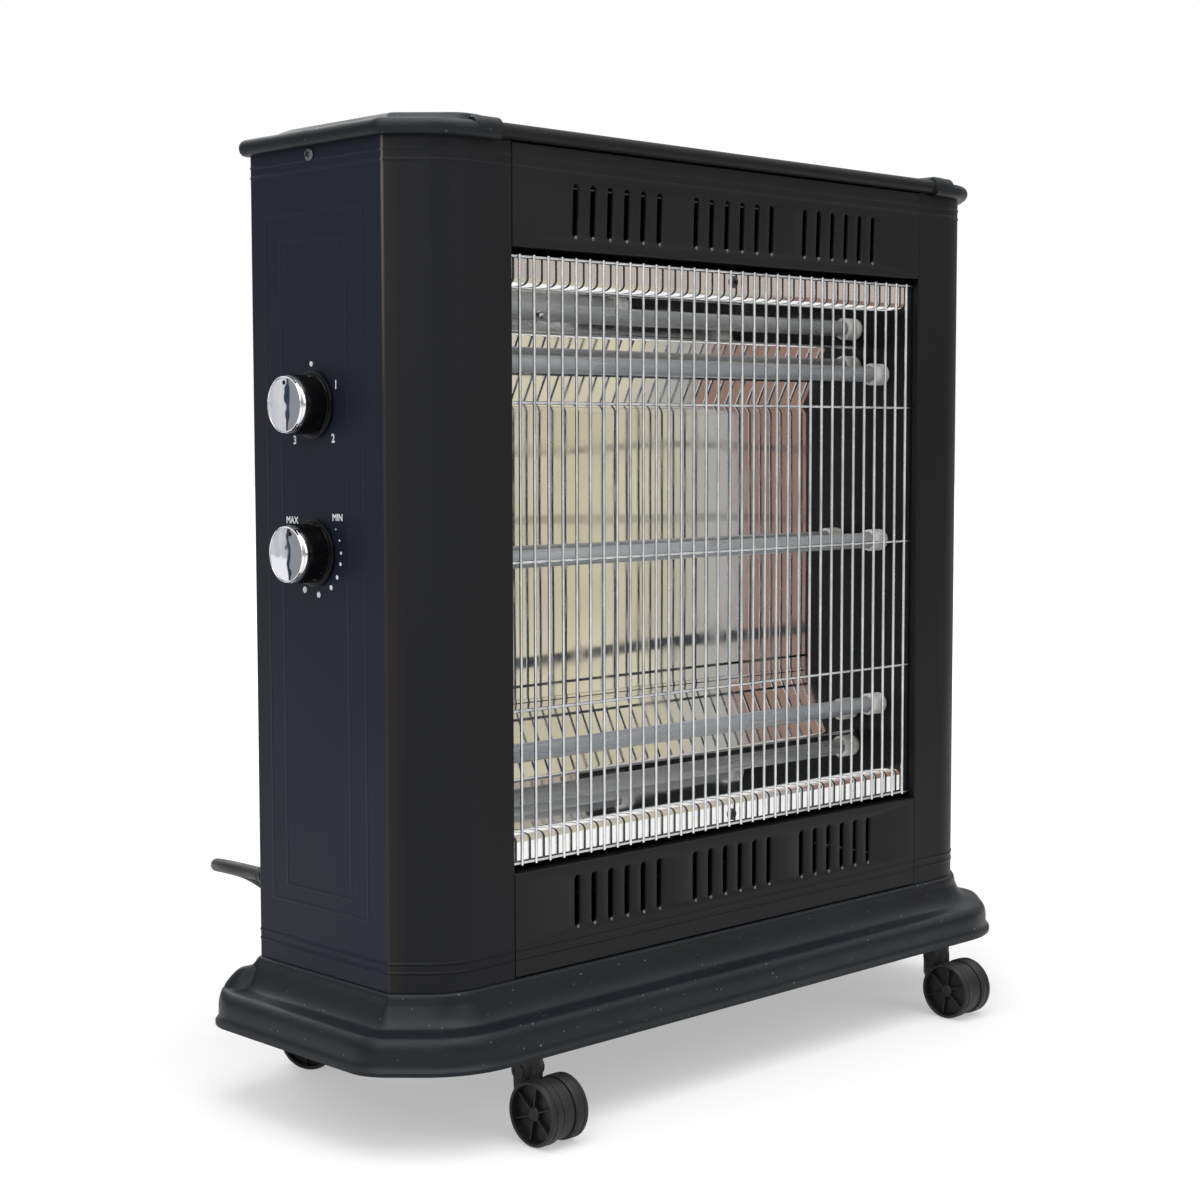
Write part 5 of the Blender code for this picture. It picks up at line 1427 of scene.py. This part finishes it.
def curtained(tree, place):
    """Pale drapes with a dark post and a grey wall beyond it, seen in the dials' discs."""
    _, y, z = coordinates(tree, place)
    folds = spread(tree, grain(tree, place, 130, 2, (1, 1, 0.04)), 0.35, 0.65)
    tone = blended(tree, folds, (0.72, 0.72, 0.73), (0.52, 0.53, 0.56))
    tone = blended(tree, spread(tree, y, 0.4310, 0.4300), tone, (0.28, 0.29, 0.31))
    lit = worked(tree, "MULTIPLY", spread(tree, z, 0.312, 0.311), spread(tree, y, 0.442, 0.443))
    tone = blended(tree, lit, tone, (0.92, 0.93, 0.96))
    sway = worked(tree, "MULTIPLY", grain(tree, place, 40, 2, (0, 0, 1)), 0.004)
    away = distance_from(tree, y, worked(tree, "ADD", 0.4340, sway))
    return blended(tree, spread(tree, away, 0.0050, 0.0058, 1, 0), tone, (0.03, 0.045, 0.07))


def seen_directly(tree, path):
    """1 for what the camera sees, also through glass."""
    return worked(tree, "MAXIMUM", path.outputs["Is Camera Ray"], path.outputs["Is Transmission Ray"])


def pale_floor():
    """A pale floor that fades to white with distance and keeps the heater's shadow."""
    bm = bmesh.new()
    bmesh.ops.create_grid(bm, x_segments=1, y_segments=1, size=FLOOR_HALF)
    mesh = bpy.data.meshes.new("floor")
    bm.to_mesh(mesh)
    bm.free()
    floor = bpy.data.objects.new("floor", mesh)
    floor.location = (0, 0, FLOOR_DROP)
    bpy.context.scene.collection.objects.link(floor)
    surface, tree, shader, place = base("pale_floor", (0.67, 0.668, 0.67), 0.75, specular=0.1)
    shader.inputs["Emission Color"].default_value = (1, 1, 1, 1)
    path = tree.nodes.new("ShaderNodeLightPath")
    reach = tree.nodes.new("ShaderNodeVectorMath")
    reach.operation = "LENGTH"
    tree.links.new(place, reach.inputs[0])
    fading = spread(tree, reach.outputs["Value"], 0.5, 2.6, 0.4, 1.0, smooth=True)
    shows = worked(tree, "MULTIPLY", seen_directly(tree, path), fading)
    in_mirrors = worked(tree, "MULTIPLY", path.outputs["Is Glossy Ray"], 0.3)
    tree.links.new(worked(tree, "MAXIMUM", shows, in_mirrors), shader.inputs["Emission Strength"])
    mesh.materials.append(surface)


def surround():
    """White to the eye and soft to lit pieces, with a bright ceiling and a window for glossy ones."""
    world = bpy.data.worlds.new("studio")
    bpy.context.scene.world = world
    world.use_nodes = True
    tree = world.node_tree
    light = tree.nodes["Background"]
    path = tree.nodes.new("ShaderNodeLightPath")
    glossy = path.outputs["Is Glossy Ray"]
    sky = tree.nodes.new("ShaderNodeTexCoord").outputs["Generated"]
    toward = tree.nodes.new("ShaderNodeVectorMath")
    toward.operation = "DOT_PRODUCT"
    toward.inputs[1].default_value = (-0.707, -0.707, 0)
    tree.links.new(sky, toward.inputs[0])
    ceiling = spread(tree, coordinates(tree, sky)[2], 0.1, 0.8, 0.32, 1.15, smooth=True)
    window = spread(tree, toward.outputs["Value"], 0.80, 0.97, 0, 1.0, smooth=True)
    in_mirrors = worked(tree, "MULTIPLY", glossy, worked(tree, "MAXIMUM", ceiling, window))
    seen = spread(tree, seen_directly(tree, path), 0, 1, 0.45, 1.0)
    elsewhere = worked(tree, "MULTIPLY", seen, worked(tree, "SUBTRACT", 1, glossy))
    tree.links.new(worked(tree, "MAXIMUM", in_mirrors, elsewhere), light.inputs["Strength"])
    light.inputs["Color"].default_value = (1, 1, 1, 1)


def studio():
    """Pale floor, white surround and soft lamps at a plain level."""
    pale_floor()
    surround()
    for name, place, aim, size, power in LAMPS:
        lamp = bpy.data.lights.new(name, "AREA")
        lamp.shape = "SQUARE"
        lamp.size = size
        lamp.energy = power
        holder = bpy.data.objects.new(name, lamp)
        holder.matrix_world = along(Vector(place) - Vector(aim), place)
        bpy.context.scene.collection.objects.link(holder)
    card("boards", BOARDS, boarded)
    card("drapes", DRAPES, curtained)
    bpy.context.scene.view_settings.view_transform = "Standard"


camera()
mains_cord()
casing()
back_panel()
roof_sheet()
roof_cap("roof_cap_left", -1)
roof_cap("roof_cap_right", 1)
plinth()
wire_guard()
reflector()
tubes()
dial("rotary_switch", SWITCH_Z, 0)
dial("thermostat", THERMOSTAT_Z, 20)
dial_marks()
for place in CASTERS:
    caster(*place)
carried_over()
studio()
